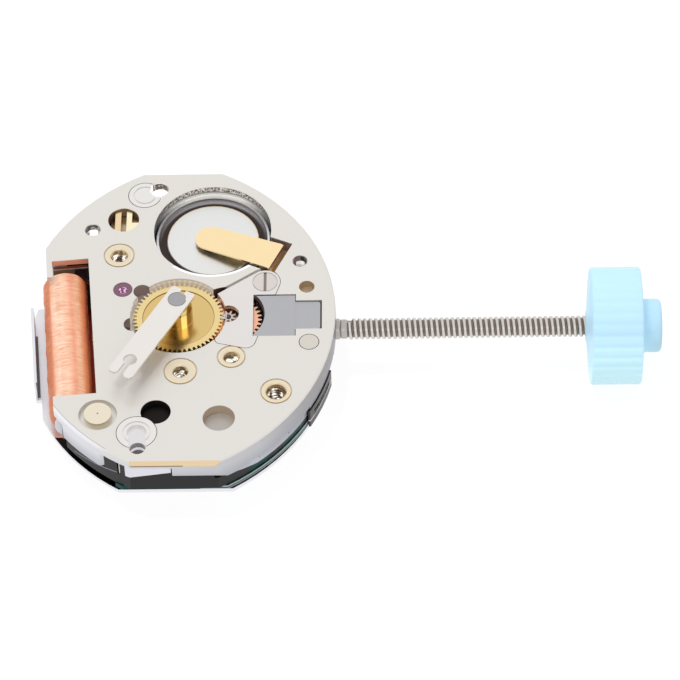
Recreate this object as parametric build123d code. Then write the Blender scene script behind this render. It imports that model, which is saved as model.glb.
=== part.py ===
from build123d import *
from math import atan2, cos, degrees, hypot, pi, radians, sin, sqrt
import os

# Frame: X runs out along the winding stem, Y towards twelve, Z towards the dial.
# The origin is the hand axis, level with the dial side of the plate.

# Main plate
plate_width = 12.9
plate_length = 15.6
end_flat_width = 3.33
plate_thickness = 1.10
web_thickness = 0.80
rim_width = 0.75
edge_bevel = 0.05
end_bevel = 0.16
end_bevel_left = -1.73
end_bevel_right = 1.88
end_side_drop = 0.75
end_lip_drop = 0.28
end_notch_depth = 0.42
end_lip_start = -3.1
end_lip_end = -0.05
end_side_slant = 1.67
end_side_end = 2.15
end_corner_right = -2.2
end_corner_depth = 0.85
rim_notch_radius = 0.25
rim_notch_height = 0.12
rim_notch_angles = (-62, -51, -40, -30)
hour_recess_radius = 1.975
hour_recess_y = -0.08
recess_depth = 0.60
minute_recess_radius = 1.46
lobe_radius = 0.36
lobe_upper_x = -1.52
lobe_upper_y = 1.26
lobe_lower_x = -1.86
lobe_lower_y = -0.5
centre_hole_radius = 0.23

# Holes that show on the dial side
black_hole_x = -0.76
black_hole_y = -5.13
black_hole_radius = 0.61
blind_hole_x = 1.78
blind_hole_y = -5.48
blind_hole_radius = 0.65
blind_hole_depth = 0.45
side_hole_x = 4.97
side_hole_y = 2.82
side_hole_radius = 0.31
brass_hole_x = 5.26
brass_hole_y = 1.41
brass_hole_radius = 0.32
brass_hole_depth = 0.34
corner_hole_x = -3.70
corner_hole_y = 4.68
corner_hole_radius = 0.33
corner_hole_depth = 0.50

# Dial foot holes and their turning clamps
foot_upper_x = -0.99
foot_upper_radius = 0.40
foot_upper_depth = 0.85
foot_lower_x = -1.43
foot_lower_radius = 0.34
foot_end_distance = 0.87
foot_boss_wall = 0.35
clamp_upper_x = -1.58
clamp_upper_offset = 0.33
clamp_upper_radius = 0.68
clamp_lower_x = -1.49
clamp_lower_offset = 0.76
clamp_lower_radius = 0.80
clamp_key_radius = 0.40
clamp_key_depth = 0.14
clamp_thickness = 0.42
clamp_gap = 0.03
clamp_groove_radius_share = 0.68
clamp_groove_width = 0.06
clamp_groove_depth = 0.05

# Brass pillars that are pressed into the plate
pillar_one_x = -2.54
pillar_one_y = 3.25
pillar_two_x = 0.17
pillar_two_y = -3.02
pillar_three_x = 4.06
pillar_three_y = -4.12
pillar_four_x = 2.22
pillar_four_y = -2.29
pillar_head_radius = 0.62
pillar_two_head_radius = 0.66
pillar_four_head_radius = 0.56
pillar_post_radius = 0.50
pillar_bore_radius = 0.33
pillar_two_bore_radius = 0.29
pillar_four_bore_radius = 0.30
pillar_bore_depth = 1.00
pillar_three_bore_radius = 0.39
pillar_bore_bevel = 0.05
pillar_ring_width = 0.035
pillar_ring_depth = 0.04
pin_x = -3.08
pin_y = -5.24
pin_radius = 0.55
pin_recess_radius = 0.78
pin_recess_depth = 0.24
pin_rise = 0.09
pin_post_radius = 0.46
eccentric_x = -2.43
eccentric_y = 5.22
eccentric_hole_radius = 0.65
eccentric_radius = 0.62
eccentric_top = -0.12
eccentric_bottom = -1.00
eccentric_slot_width = 0.23
eccentric_slot_depth = 0.40
eccentric_step_start = 0.34
eccentric_step_low = -0.05
eccentric_step_depth = 0.30
eccentric_left_edge = -0.36

# Hour wheel, cannon pinion and minute wheel
hand_gear_spacing = 2.05
hour_teeth = 56
minute_pinion_leaves = 8
minute_teeth = 36
cannon_teeth = 21
tooth_depth_share = 1.25
tooth_root_share = 0.31
tooth_tip_share = 0.11
hour_wheel_top = -0.21
hour_wheel_thickness = 0.12
hour_dish_radius = 1.47
hour_dish_depth = 0.03
hour_pipe_radius = 0.60
hour_pipe_top = 0.45
minute_wheel_top = -0.40
minute_wheel_thickness = 0.10
minute_pinion_top = -0.19
minute_stud_radius = 0.10
minute_stud_top = -0.15
cannon_wheel_thickness = 0.12
cannon_radius = 0.36
cannon_top = 0.95
cannon_cap = 0.15
cannon_foot_radius = 0.42
turning_gap = 0.02

# Bridge over the minute wheel, with its screw
bridge_thickness = 0.20
bridge_gap = 0.025
bridge_slit_x = -0.05
bridge_slit_y = 0.085
bridge_star_hole_radius = 0.44
bridge_tab_radius = 0.62
bridge_toe_x = 2.80
bridge_toe_y = -1.45
bridge_toe_radius = 0.38
bridge_side_radius = 0.20
bridge_side_x = 1.75
bridge_side_upper_y = 0.95
bridge_side_lower_y = -1.38
bridge_screw_x = 3.54
bridge_screw_y = 1.70
bridge_screw_head_radius = 0.50
bridge_screw_head_height = 0.10
bridge_screw_radius = 0.26
bridge_screw_length = 0.70
screw_slot_width = 0.12
screw_slot_depth = 0.06
screw_gap = 0.02

# Transport clip on the tip of the cannon pinion
clip_thickness = 0.10
clip_width = 1.08
clip_reach = 4.52
clip_angle = 240.5
clip_heel = 0.57
clip_heel_round = 0.12
clip_notch_width = 0.20
clip_eye_reach = 3.64
clip_eye_radius = 0.28
clip_mouth_width = 0.26

# Battery with its cell parts
battery_x = 1.31
battery_y = 4.57
battery_radius = 2.40
battery_height = 1.62
battery_rim_top = -0.53
battery_rim_bevel = 0.03
battery_cap_drop = 0.07
battery_foot_bevel = 0.12
battery_seal_outer_radius = 2.28
battery_seal_inner_radius = 1.93
battery_seal_drop = 0.22
battery_cap_depth = 0.75
battery_cap_bevel = 0.03
battery_gap = 0.05

# Gold contact strap
strap_foot_x = 4.006
strap_foot_y = 3.133
strap_tip_x = 1.20
strap_tip_y = 4.46
strap_tip_width = 1.26
strap_foot_width = 1.42
strap_thickness = 0.08
strap_top = -0.06
strap_tip_top = -0.33
strap_bend_radius = 0.13
strap_foot_drop = 0.40
strap_foot_length = 0.30
strap_dimple_radius = 0.16
strap_pocket_margin = 0.14
strap_pocket_end = 0.31
strap_pocket_bay_start = 0.10
strap_pocket_bay_end = 1.10
strap_pocket_bay_width = 0.22
insulator_thickness = 0.06
insulator_margin = 0.06

# Winding stem and keyless works
stem_depth = 1.06
stem_thread_radius = 0.45
stem_collar_radius = 0.475
stem_inner_end = 3.35
stem_square = 0.42
stem_square_end = 4.75
stem_groove_start = 4.95
stem_groove_end = 5.45
stem_shoulder_radius = 0.40
stem_groove_radius = 0.28
stem_collar_end = 6.94
stem_thread_end = 17.6
stem_hole_gap = 0.03
boss_reach = 0.47
boss_half_width = 0.80
boss_bottom = -1.72
boss_inset = 0.06
sliding_start = 3.75
sliding_length = 0.80
sliding_gear_length = 0.30
sliding_teeth = 14
sliding_radius = 0.62
sliding_groove_start = 0.38
sliding_groove_width = 0.20
sliding_groove_radius = 0.36
sliding_body_radius = 0.54
sliding_gap = 0.02
yoke_thickness = 0.20
yoke_prong_start = 0.40
yoke_foot_start = 0.95
yoke_foot_end = 1.25
yoke_foot_left = 3.80
yoke_foot_right = 4.72
yoke_prong_gap = 0.03
lever_pivot_x = 5.37
lever_pivot_y = -1.55
lever_pivot_radius = 0.39
lever_pivot_gap = 0.03
lever_top = -0.46
lever_thickness = 0.10
lever_tail_radius = 0.36
lever_arm_x = 5.20
lever_arm_y = -0.12
lever_arm_radius = 0.20
lever_pin_radius = 0.10
lever_pin_bottom = -0.74
keyless_left = 3.15
keyless_edge_distance = 0.50
keyless_low = -2.10
keyless_high = 1.40
keyless_ceiling = -0.40

# Grey cover plate in the keyless window
cover_left = 3.10
cover_right = 4.79
cover_low = -1.18
cover_high = 0.98
cover_tongue_end = 5.86
cover_tongue_low = -0.82
cover_tongue_high = 0.65
cover_corner = 0.12
cover_top = -0.04
cover_thickness = 0.16
cover_gap = 0.03
cover_hollow_radius = 1.50
cover_tongue_step = 0.025
cover_tongue_slit = 0.04

# Drive coil on its core
coil_x = -4.515
coil_y = -1.32
coil_tilt = 5
coil_radius = 0.94
coil_end_radius = 0.74
coil_taper = 0.45
coil_low = -3.35
coil_high = 3.85
coil_depth = 1.25
flange_radius = 0.70
flange_thickness = 0.10
core_thickness = 0.30
core_half_width = 0.40
core_low = -4.00
core_high = 4.80
core_pad_left = -0.45
core_pad_right = 0.95
core_low_pad_left = -0.35
core_low_pad_right = 0.50
window_low = -2.90
window_high = 4.34
window_right = 1.08
window_post_low = 3.47
window_post_left = -0.44
plate_cut = -0.67
coil_ceiling = -0.30
coil_bay_low = -4.15
coil_bay_high = 4.95
coil_bay_right = 1.15

# Stepping motor: stator and rotor
stator_thickness = 0.20
stator_hole_radius = 0.52
stator_notch_radius = 0.09
stator_ring_radius = 0.85
stator_arm_radius = 0.42
stator_arm_u = 1.50
stator_arm_high_v = 1.40
stator_arm_low_v = -3.90
stator_end_radius = 0.28
stator_end_u = 0.10
stator_end_v = -3.78
stator_pin_ring = 0.88
stator_gap = 0.06
rotor_direction = 60
rotor_magnet_radius = 0.45
rotor_magnet_top = -0.86
rotor_magnet_thickness = 0.28
rotor_leaves = 6
rotor_pinion_top = -1.38
rotor_pinion_bottom = -1.62

# Going train under the plate
jewel_x = -2.32
jewel_y = 1.37
jewel_radius = 0.40
jewel_top = -0.03
jewel_thickness = 0.40
jewel_hole_radius = 0.07
jewel_cup_radius = 0.20
jewel_cup_depth = 0.12
intermediate_teeth = 48
intermediate_leaves = 6
intermediate_module = 0.050
intermediate_top = -1.45
third_teeth = 45
third_leaves = 8
third_module = 0.064
third_top = -1.15
third_pinion_top = -0.84
third_pinion_bottom = -1.00
intermediate_pinion_top = -1.12
intermediate_pinion_bottom = -1.30
centre_teeth = 48
centre_module = 0.075
centre_top = -0.86
train_wheel_thickness = 0.10
train_arbor_radius = 0.09
train_pivot_radius = 0.055
train_pivot_length = 0.16
centre_arbor_radius = 0.20
centre_arbor_top = 0.76
spoke_count = 4
spoke_width = 0.16
spoke_rim_share = 0.80
spoke_hub_share = 0.26

# Train bridge, back jewels and its screws
train_bridge_top = -1.80
train_bridge_thickness = 0.25
train_bridge_end_radius = 0.72
train_bridge_waist_radius = 0.60
back_jewel_radius = 0.28
back_jewel_thickness = 0.18
back_screw_head_radius = 0.50
back_screw_head_height = 0.16
back_screw_radius = 0.31
back_screw_length = 0.90

# Electronic module under the plate, left open round the train
train_room_radius = 4.00
spacer_top = -1.10
spacer_bottom = -1.75
spacer_side_inset = 0.08
spacer_end_inset = 0.14
spacer_gap = 0.06
frame_inset = 0.30
frame_bottom = -2.10
spacer_peg_top = -0.30
spacer_peg_gap = 0.04
board_thickness = 0.25
board_side_inset = 0.05
board_end_inset = 0.30
board_left = -2.40
board_high = 1.20
crystal_x = 2.80
crystal_y = -3.54
crystal_angle = 45
crystal_radius = 0.58
crystal_length = 4.30
crystal_depth = 1.45
crystal_bevel = 0.12
crystal_gap = 0.07
chip_x = 4.95
chip_y = -1.10
chip_width = 1.40
chip_length = 1.60
chip_height = 0.22
chip_bevel = 0.06

# Back cover with its upturned lip, screws and battery bridle
cover_sheet_top = -2.25
cover_sheet_thickness = 0.20
cover_sheet_side_inset = 0.12
cover_sheet_end_inset = 0.50
cover_sheet_high = 1.90
under_step_inset = 0.50
under_step_y = -1.90
cover_sheet_cut = -1.47
cover_sheet_step = -1.22
cover_sheet_step_v = -1.20
cover_sheet_step_low = -2.60
cover_sheet_coil_high = 3.70
cover_lip_thickness = 0.12
cover_lip_top = -1.30
cover_lip_low = -1.02
cover_lip_high = 3.00
cover_coil_shelf = 0.45
cover_shelf_left = 2.40
cover_shelf_right = 4.20
cover_shelf_high = 2.60
cover_window_radius = 0.55
cover_sink_depth = 0.10
cover_screw_head_radius = 0.55
cover_screw_length = 0.80
bridle_thickness = 0.08
bridle_top = -2.17
bridle_pad_radius = 0.75
bridle_arm_radius = 0.40
bridle_far_x = -1.95
bridle_far_y = 5.90
bridle_screw_length = 1.90

# Thin steel leaf beside the module, at the lower right
side_leaf_outset = 0.05
side_leaf_inset = 0.02
side_leaf_top = -1.16
side_leaf_bottom = -2.15
side_leaf_low = -4.25
side_leaf_high = -2.10
side_leaf_slot_top = -1.45
side_leaf_slot_bottom = -1.75
side_leaf_slot_low = -3.95
side_leaf_slot_high = -2.45

# Crown on the end of the stem
crown_start = 17.00
crown_length = 1.95
crown_radius = 2.42
crown_ribs = 32
crown_rib_depth = 0.06
crown_groove_share = 0.22
crown_edge_bevel = 0.05
crown_cone_radius = 0.62
crown_cone_rim_radius = 2.30
crown_cone_length = 0.30
crown_hub_radius = 1.10
crown_hub_length = 0.85
crown_hub_bevel = 0.16

# One overrun serves every cut that runs out through a face
overrun = 0.5

base = (Align.CENTER, Align.CENTER, Align.MIN)
side_bulge = (plate_width - end_flat_width) / 2
side_radius = (side_bulge**2 + (plate_length / 2) ** 2) / (2 * side_bulge)
foot_upper_y = plate_length / 2 - foot_end_distance
foot_lower_y = foot_end_distance - plate_length / 2
clamp_upper_y = foot_upper_y - clamp_upper_offset
clamp_lower_y = foot_lower_y + clamp_lower_offset
boss_start = plate_width / 2 - boss_reach
keyless_right = plate_width / 2 - keyless_edge_distance
module_bottom = spacer_bottom - board_thickness
plate_bottom = -plate_thickness
battery_cap_top = battery_rim_top - battery_cap_drop
recess_floor = -recess_depth
web_bottom = -web_thickness
core_top = -coil_depth + core_thickness / 2
stator_top = core_top + stator_thickness
hour_module = 2 * hand_gear_spacing / (hour_teeth + minute_pinion_leaves)
minute_module = 2 * hand_gear_spacing / (minute_teeth + cannon_teeth)
coil_frame = Pos(coil_x, coil_y) * Rot(0, 0, coil_tilt)


# Plain shapes


def disc(x, y, radius, top, bottom):
    return Pos(x, y, bottom) * Cylinder(radius, top - bottom, align=base)


def slab(outline, top, bottom):
    return extrude(Pos(0, 0, bottom) * outline, amount=top - bottom)


def panel(left, right, low, high):
    return Pos((left + right) / 2, (low + high) / 2) * Rectangle(right - left, high - low)


def block(left, right, low, high, top, bottom):
    return slab(panel(left, right, low, high), top, bottom)


def spot(x, y, radius):
    return Pos(x, y) * Circle(radius)


def link(x1, y1, radius1, x2, y2, radius2):
    ends = spot(x1, y1, radius1) + spot(x2, y2, radius2)
    return make_hull(ends.edges())


def rod(start, end, radius):
    """A round bar on the stem's axis, between two places on X."""
    along = Pos(start, 0, -stem_depth) * Rot(0, 90, 0)
    return along * Cylinder(radius, end - start, align=base)


def oval(side_inset, end_inset):
    """The movement's outline: two side arcs between straight ends."""
    centre = side_radius - plate_width / 2
    reach = side_radius - side_inset
    lens = spot(-centre, 0, reach) & spot(centre, 0, reach)
    return lens & Rectangle(plate_width, plate_length - 2 * end_inset)


def under_outline(side_inset, end_inset):
    """The module's outline, drawn in beside the stem so that the plate alone shows there."""
    band = oval(0, 0) - oval(under_step_inset, 0)
    band &= panel(0, plate_width, under_step_y, plate_length)
    return oval(side_inset, end_inset) - band


# Toothed wheels


def gear_face(teeth, module, phase):
    """A wheel's outline, with a tooth centred on the phase angle."""
    tip = module * (teeth / 2 + 1)
    root = module * (teeth / 2 - tooth_depth_share)
    pitch = 360 / teeth
    corner_shares = (
        (root, -tooth_root_share),
        (tip, -tooth_tip_share),
        (tip, tooth_tip_share),
        (root, tooth_root_share),
    )
    corners = []
    for tooth in range(teeth):
        for radius, share in corner_shares:
            angle = radians(phase + pitch * (tooth + share))
            corners.append((radius * cos(angle), radius * sin(angle)))
    return make_face(Polyline(*corners, close=True))


def meshing_phase(phase, teeth, direction, partner_teeth):
    """The partner's phase that puts a gap opposite each tooth."""
    passed = (direction - phase) * teeth / 360
    return direction + 180 - (0.5 - passed) * 360 / partner_teeth


def spokes_cut(radius, phase):
    """The openings between the spokes of a wheel."""
    ring = Circle(radius * spoke_rim_share) - Circle(radius * spoke_hub_share)
    for spoke in range(spoke_count):
        turn = phase + 360 * spoke / spoke_count
        ring -= Rot(0, 0, turn) * panel(0, radius, -spoke_width / 2, spoke_width / 2)
    return ring


def meeting_point(x1, y1, reach1, x2, y2, reach2):
    """Where two reaches from two points meet, left of the way from the first to the second."""
    gap = hypot(x2 - x1, y2 - y1)
    along = (reach1**2 - reach2**2 + gap**2) / (2 * gap)
    aside = sqrt(reach1**2 - along**2)
    ux = (x2 - x1) / gap
    uy = (y2 - y1) / gap
    return x1 + ux * along - uy * aside, y1 + uy * along + ux * aside


centre_spacing = centre_module * (centre_teeth + third_leaves) / 2
third_spacing = third_module * (third_teeth + intermediate_leaves) / 2
rotor_spacing = intermediate_module * (intermediate_teeth + rotor_leaves) / 2
third_x, third_y = meeting_point(0, 0, centre_spacing, jewel_x, jewel_y, third_spacing)
rotor_x = jewel_x + rotor_spacing * cos(radians(rotor_direction))
rotor_y = jewel_y + rotor_spacing * sin(radians(rotor_direction))
third_direction = degrees(atan2(third_y, third_x))
jewel_direction = degrees(atan2(jewel_y - third_y, jewel_x - third_x))
third_pinion_phase = meshing_phase(0, centre_teeth, third_direction, third_leaves)
intermediate_pinion_phase = meshing_phase(0, third_teeth, jewel_direction, intermediate_leaves)
rotor_pinion_phase = meshing_phase(0, intermediate_teeth, rotor_direction, rotor_leaves)


# Shapes that a piece and its seat share


def cover_outline(gap):
    body = panel(cover_left - gap, cover_right + gap, cover_low - gap, cover_high + gap)
    tongue = panel(cover_left, cover_tongue_end + gap, cover_tongue_low - gap, cover_tongue_high + gap)
    return body + tongue


def bridge_outline(gap):
    """The minute train bridge seen from the dial side."""
    screw = spot(bridge_screw_x, bridge_screw_y, bridge_tab_radius + gap)
    toe = spot(bridge_toe_x, bridge_toe_y, bridge_toe_radius + gap)
    upper = spot(bridge_side_x, bridge_side_upper_y, bridge_side_radius + gap)
    lower = spot(bridge_side_x, bridge_side_lower_y, bridge_side_radius + gap)
    return make_hull((screw + toe + upper + lower).edges())


def crystal_cut(gap):
    half_length = crystal_length / 2 + gap
    half_width = crystal_radius + gap
    slot = panel(-half_length, half_length, -half_width, half_width)
    return Pos(crystal_x, crystal_y) * Rot(0, 0, crystal_angle) * slot


def coil_bay():
    return coil_frame * panel(-plate_width, coil_bay_right, coil_bay_low, coil_bay_high)


def strap_frame():
    turn = degrees(atan2(strap_tip_y - strap_foot_y, strap_tip_x - strap_foot_x))
    return Pos(strap_foot_x, strap_foot_y) * Rot(0, 0, turn)


def strap_plan(margin):
    """The strap from above, its foot end at the origin and a round tip along X."""
    length = hypot(strap_tip_x - strap_foot_x, strap_tip_y - strap_foot_y)
    foot = strap_foot_width / 2 + margin
    tip = strap_tip_width / 2 + margin
    sides = Polyline((-margin, -foot), (length, -tip), (length, tip), (-margin, foot), close=True)
    return make_face(sides) + spot(length, 0, tip)


# The plate and what is fixed in it


def plate_holes():
    """Every round hole that goes down from the dial side, as x, y, radius, floor."""
    through = plate_bottom - overrun
    return (
        (battery_x, battery_y, battery_radius + battery_gap, through),
        (black_hole_x, black_hole_y, black_hole_radius, through),
        (blind_hole_x, blind_hole_y, blind_hole_radius, -blind_hole_depth),
        (side_hole_x, side_hole_y, side_hole_radius, through),
        (brass_hole_x, brass_hole_y, brass_hole_radius, -brass_hole_depth),
        (corner_hole_x, corner_hole_y, corner_hole_radius, -corner_hole_depth),
        (eccentric_x, eccentric_y, eccentric_hole_radius, through),
        (foot_upper_x, foot_upper_y, foot_upper_radius, -foot_upper_depth),
        (foot_lower_x, foot_lower_y, foot_lower_radius, through),
        (clamp_upper_x, clamp_upper_y, clamp_upper_radius + clamp_gap, -clamp_thickness),
        (clamp_lower_x, clamp_lower_y, clamp_lower_radius + clamp_gap, -clamp_thickness),
        (pillar_one_x, pillar_one_y, pillar_head_radius, through),
        (pillar_two_x, pillar_two_y, pillar_two_head_radius, through),
        (pillar_three_x, pillar_three_y, pillar_head_radius, through),
        (pillar_four_x, pillar_four_y, pillar_four_head_radius, through),
        (pin_x, pin_y, pin_recess_radius, -pin_recess_depth),
        (pin_x, pin_y, pin_radius, through),
        (jewel_x, jewel_y, jewel_radius, jewel_top - jewel_thickness),
        (jewel_x, jewel_y, jewel_cup_radius, through),
        (0, hour_recess_y, hour_recess_radius, recess_floor),
        (0, 0, centre_hole_radius, through),
        (lobe_upper_x, lobe_upper_y, lobe_radius, recess_floor),
        (lobe_lower_x, lobe_lower_y, lobe_radius, recess_floor),
        (hand_gear_spacing, 0, minute_recess_radius, recess_floor),
        (bridge_screw_x, bridge_screw_y, bridge_screw_radius + screw_gap, through),
        (lever_pivot_x, lever_pivot_y, lever_pivot_radius + lever_pivot_gap, keyless_ceiling),
    )


def pillar_rings():
    """The fine groove in the plate round the head of each pillar."""
    rings = []
    for x, y, radius in (
        (pillar_one_x, pillar_one_y, pillar_head_radius),
        (pillar_two_x, pillar_two_y, pillar_two_head_radius),
        (pillar_three_x, pillar_three_y, pillar_head_radius),
        (pillar_four_x, pillar_four_y, pillar_four_head_radius),
    ):
        rings.append(disc(x, y, radius + pillar_ring_width, overrun, -pillar_ring_depth))
    return rings


def plate_underside():
    """The pocket for the train and the module, with the bosses that stay in it."""
    pocket = slab(oval(rim_width, rim_width), web_bottom, plate_bottom - overrun)
    for x, y, radius in (
        (foot_upper_x, foot_upper_y, foot_upper_radius),
        (foot_lower_x, foot_lower_y, foot_lower_radius),
    ):
        pocket -= disc(x, y, radius + foot_boss_wall, web_bottom + overrun, plate_bottom - overrun)
    for x, y in ((rotor_x, rotor_y), (third_x, third_y)):
        pocket += disc(x, y, jewel_hole_radius, recess_floor + turning_gap, web_bottom - turning_gap)
    return pocket


def strap_pocket():
    side = strap_foot_width / 2 + strap_pocket_margin
    bay_side = strap_foot_width / 2 + strap_pocket_bay_width
    plan = strap_plan(strap_pocket_margin) + panel(-strap_pocket_end, 0, -side, side)
    plan += panel(strap_pocket_bay_start, strap_pocket_bay_end, 0, bay_side)
    plan = strap_frame() * plan
    floor = strap_top - strap_thickness - strap_foot_drop - insulator_thickness
    return slab(plan, overrun, floor)


def end_cuts():
    """The straight lower end is cut back under a lip, where the black frame shows."""
    high = -plate_length / 2 + end_notch_depth
    low = -plate_length / 2 - overrun
    corner_high = -plate_length / 2 + end_corner_depth
    outline = Polyline(
        (end_lip_end, -end_side_drop),
        (end_side_slant, -end_side_drop),
        (end_side_end, plate_bottom),
        (end_side_end, plate_bottom - overrun),
        (end_lip_end, plate_bottom - overrun),
        close=True,
    )
    side = Pos(0, high, 0) * extrude(Plane.XZ * make_face(outline), amount=high - low)
    lip = block(end_lip_start, end_lip_end, low, high, -end_lip_drop, plate_bottom - overrun)
    corner = block(
        end_lip_start, end_corner_right, low, corner_high, -end_lip_drop, plate_bottom - overrun
    )
    return [side, lip, corner]


def end_bevel_cut():
    """The broad bevel along the middle of the straight lower end."""
    edge = -plate_length / 2
    outline = Polyline(
        (edge - overrun, -end_bevel - overrun),
        (edge + end_bevel + overrun, overrun),
        (edge - overrun, overrun),
        close=True,
    )
    length = end_bevel_right - end_bevel_left
    return Pos(end_bevel_left, 0, 0) * extrude(Plane.YZ * make_face(outline), amount=length)


def rim_notches():
    centre = plate_width / 2 - side_radius
    notches = []
    for angle in rim_notch_angles:
        x = centre + side_radius * cos(radians(angle))
        y = side_radius * sin(radians(angle))
        top = plate_bottom + rim_notch_height
        notches.append(disc(x, y, rim_notch_radius, top, plate_bottom - overrun))
    return notches


def main_plate():
    plate = slab(oval(0, 0), 0, plate_bottom)
    plate = chamfer(plate.edges().group_by(Axis.Z)[-1], edge_bevel)
    boss = panel(boss_start, plate_width, -boss_half_width, boss_half_width) & oval(boss_inset, 0)
    window = panel(window_post_left, window_right, window_low, window_high)
    window += panel(-plate_width, window_right, window_low, window_post_low)
    coil_cut = coil_frame * slab(window, overrun, plate_bottom - overrun)
    coil_cut += coil_frame * block(
        -plate_width, coil_bay_right, coil_bay_low, coil_bay_high, coil_ceiling, plate_bottom - overrun
    )
    outer_cut = coil_frame * block(
        -plate_width, plate_cut, -plate_length, plate_length / 2, overrun, plate_bottom - overrun
    )
    plate -= plate_underside()
    plate -= [disc(x, y, radius, overrun, floor) for x, y, radius, floor in plate_holes()]
    plate -= [coil_cut, outer_cut, strap_pocket()] + end_cuts() + rim_notches() + pillar_rings()
    plate -= end_bevel_cut()
    keyless = block(
        keyless_left, keyless_right, keyless_low, keyless_high, keyless_ceiling, plate_bottom - overrun
    )
    plate -= keyless
    plate -= slab(cover_outline(cover_gap), overrun, cover_top - cover_thickness)
    plate -= slab(bridge_outline(bridge_gap), overrun, -bridge_thickness)
    plate -= Pos(bridge_slit_x, bridge_slit_y) * slab(bridge_outline(bridge_gap), overrun, -bridge_thickness)
    plate += slab(boss, plate_bottom, boss_bottom)
    plate -= rod(keyless_right - overrun, plate_width, stem_collar_radius + stem_hole_gap)
    plate += disc(hand_gear_spacing, 0, minute_stud_radius, minute_stud_top, recess_floor)
    return plate


def pillar(x, y, head_radius, bore_radius, bottom):
    """A brass pillar, flush with the dial side, with a bore right through it."""
    body = disc(x, y, head_radius, 0, web_bottom) + disc(x, y, pillar_post_radius, web_bottom, bottom)
    body -= disc(x, y, bore_radius, overrun, -pillar_bore_depth)
    body -= disc(x, y, back_screw_radius + screw_gap, -pillar_bore_depth, bottom - overrun)
    mouth = body.edges().filter_by(GeomType.CIRCLE).sort_by(Edge.length)
    mouth = [edge for edge in mouth if abs(edge.radius - bore_radius) < pillar_bore_bevel]
    return chamfer(ShapeList(mouth).sort_by(Axis.Z)[-1], pillar_bore_bevel)


def locating_pin():
    body = disc(pin_x, pin_y, pin_radius, pin_rise, web_bottom)
    body += disc(pin_x, pin_y, pin_post_radius, web_bottom, cover_sheet_top)
    bore_end = cover_sheet_top + cover_screw_length
    return body - disc(pin_x, pin_y, back_screw_radius, bore_end, cover_sheet_top)


def contact_eccentric():
    body = disc(eccentric_x, eccentric_y, eccentric_radius, eccentric_top, eccentric_bottom)
    half = eccentric_slot_width / 2
    floor = eccentric_top - eccentric_slot_depth
    high = eccentric_top + overrun
    slot = block(-half, half, -eccentric_radius, eccentric_radius, high, floor)
    left = block(-plate_width, eccentric_left_edge, -plate_width, plate_width, high, floor)
    step_floor = eccentric_top - eccentric_step_depth
    step = block(eccentric_step_start, plate_width, eccentric_step_low, plate_width, high, step_floor)
    return body - Pos(eccentric_x, eccentric_y) * (slot + left + step)


def plate_jewel():
    bottom = jewel_top - jewel_thickness
    body = disc(jewel_x, jewel_y, jewel_radius, jewel_top, bottom)
    body -= disc(jewel_x, jewel_y, jewel_hole_radius, jewel_top + overrun, bottom - overrun)
    cup = Cone(jewel_hole_radius, jewel_cup_radius, jewel_cup_depth, align=base)
    return body - Pos(jewel_x, jewel_y, jewel_top - jewel_cup_depth) * cup


def clamp_grooves(x, y, radius):
    middle = radius * clamp_groove_radius_share
    half = clamp_groove_width / 2
    ring = spot(x, y, middle + half) - spot(x, y, middle - half)
    return slab(ring, overrun, -clamp_groove_depth)


def dial_foot_clamp_upper():
    """A flat cam whose notch lets the dial foot in, and whose edge holds it when turned."""
    body = disc(clamp_upper_x, clamp_upper_y, clamp_upper_radius, 0, -clamp_thickness)
    body -= clamp_grooves(clamp_upper_x, clamp_upper_y, clamp_upper_radius)
    notch = spot(foot_upper_x, foot_upper_y, foot_upper_radius)
    return body - slab(notch, overrun, -clamp_thickness - overrun)


def dial_foot_clamp_lower():
    body = disc(clamp_lower_x, clamp_lower_y, clamp_lower_radius, 0, -clamp_thickness)
    body -= clamp_grooves(clamp_lower_x, clamp_lower_y, clamp_lower_radius)
    key = spot(clamp_lower_x, clamp_lower_y, clamp_key_radius)
    slot = link(
        clamp_lower_x, clamp_lower_y, foot_lower_radius, foot_lower_x, foot_lower_y, foot_lower_radius
    )
    foot = spot(foot_lower_x, foot_lower_y, foot_lower_radius)
    body -= slab(key + slot, overrun, -clamp_key_depth)
    return body - slab(foot, overrun, -clamp_thickness - overrun)


# Hands' gearing on the dial side


def hour_wheel():
    bottom = hour_wheel_top - hour_wheel_thickness
    wheel = slab(gear_face(hour_teeth, hour_module, 0), hour_wheel_top, bottom)
    dish = Circle(hour_dish_radius)
    wheel -= slab(dish, hour_wheel_top + overrun, hour_wheel_top - hour_dish_depth)
    wheel += disc(0, 0, hour_pipe_radius, hour_pipe_top, bottom)
    return wheel - disc(0, 0, cannon_radius + turning_gap, hour_pipe_top + overrun, bottom - overrun)


def cannon_pinion():
    bottom = minute_wheel_top - cannon_wheel_thickness
    phase = meshing_phase(0, minute_teeth, 180, cannon_teeth)
    wheel = slab(gear_face(cannon_teeth, minute_module, phase), minute_wheel_top, bottom)
    wheel += disc(0, 0, cannon_foot_radius, bottom, recess_floor + turning_gap)
    wheel += disc(0, 0, cannon_radius, cannon_top, bottom)
    bore = disc(0, 0, centre_arbor_radius + turning_gap, cannon_top - cannon_cap, recess_floor)
    return wheel - bore


def minute_wheel():
    bottom = minute_wheel_top - minute_wheel_thickness
    wheel = slab(gear_face(minute_teeth, minute_module, 0), minute_wheel_top, bottom)
    phase = meshing_phase(0, hour_teeth, 0, minute_pinion_leaves)
    pinion = gear_face(minute_pinion_leaves, hour_module, phase)
    wheel += slab(pinion, minute_pinion_top, minute_wheel_top)
    wheel += disc(0, 0, minute_stud_radius * 2, bottom, recess_floor + turning_gap)
    wheel -= disc(0, 0, minute_stud_radius + turning_gap, minute_pinion_top + overrun, recess_floor)
    return Pos(hand_gear_spacing, 0) * wheel


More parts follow.
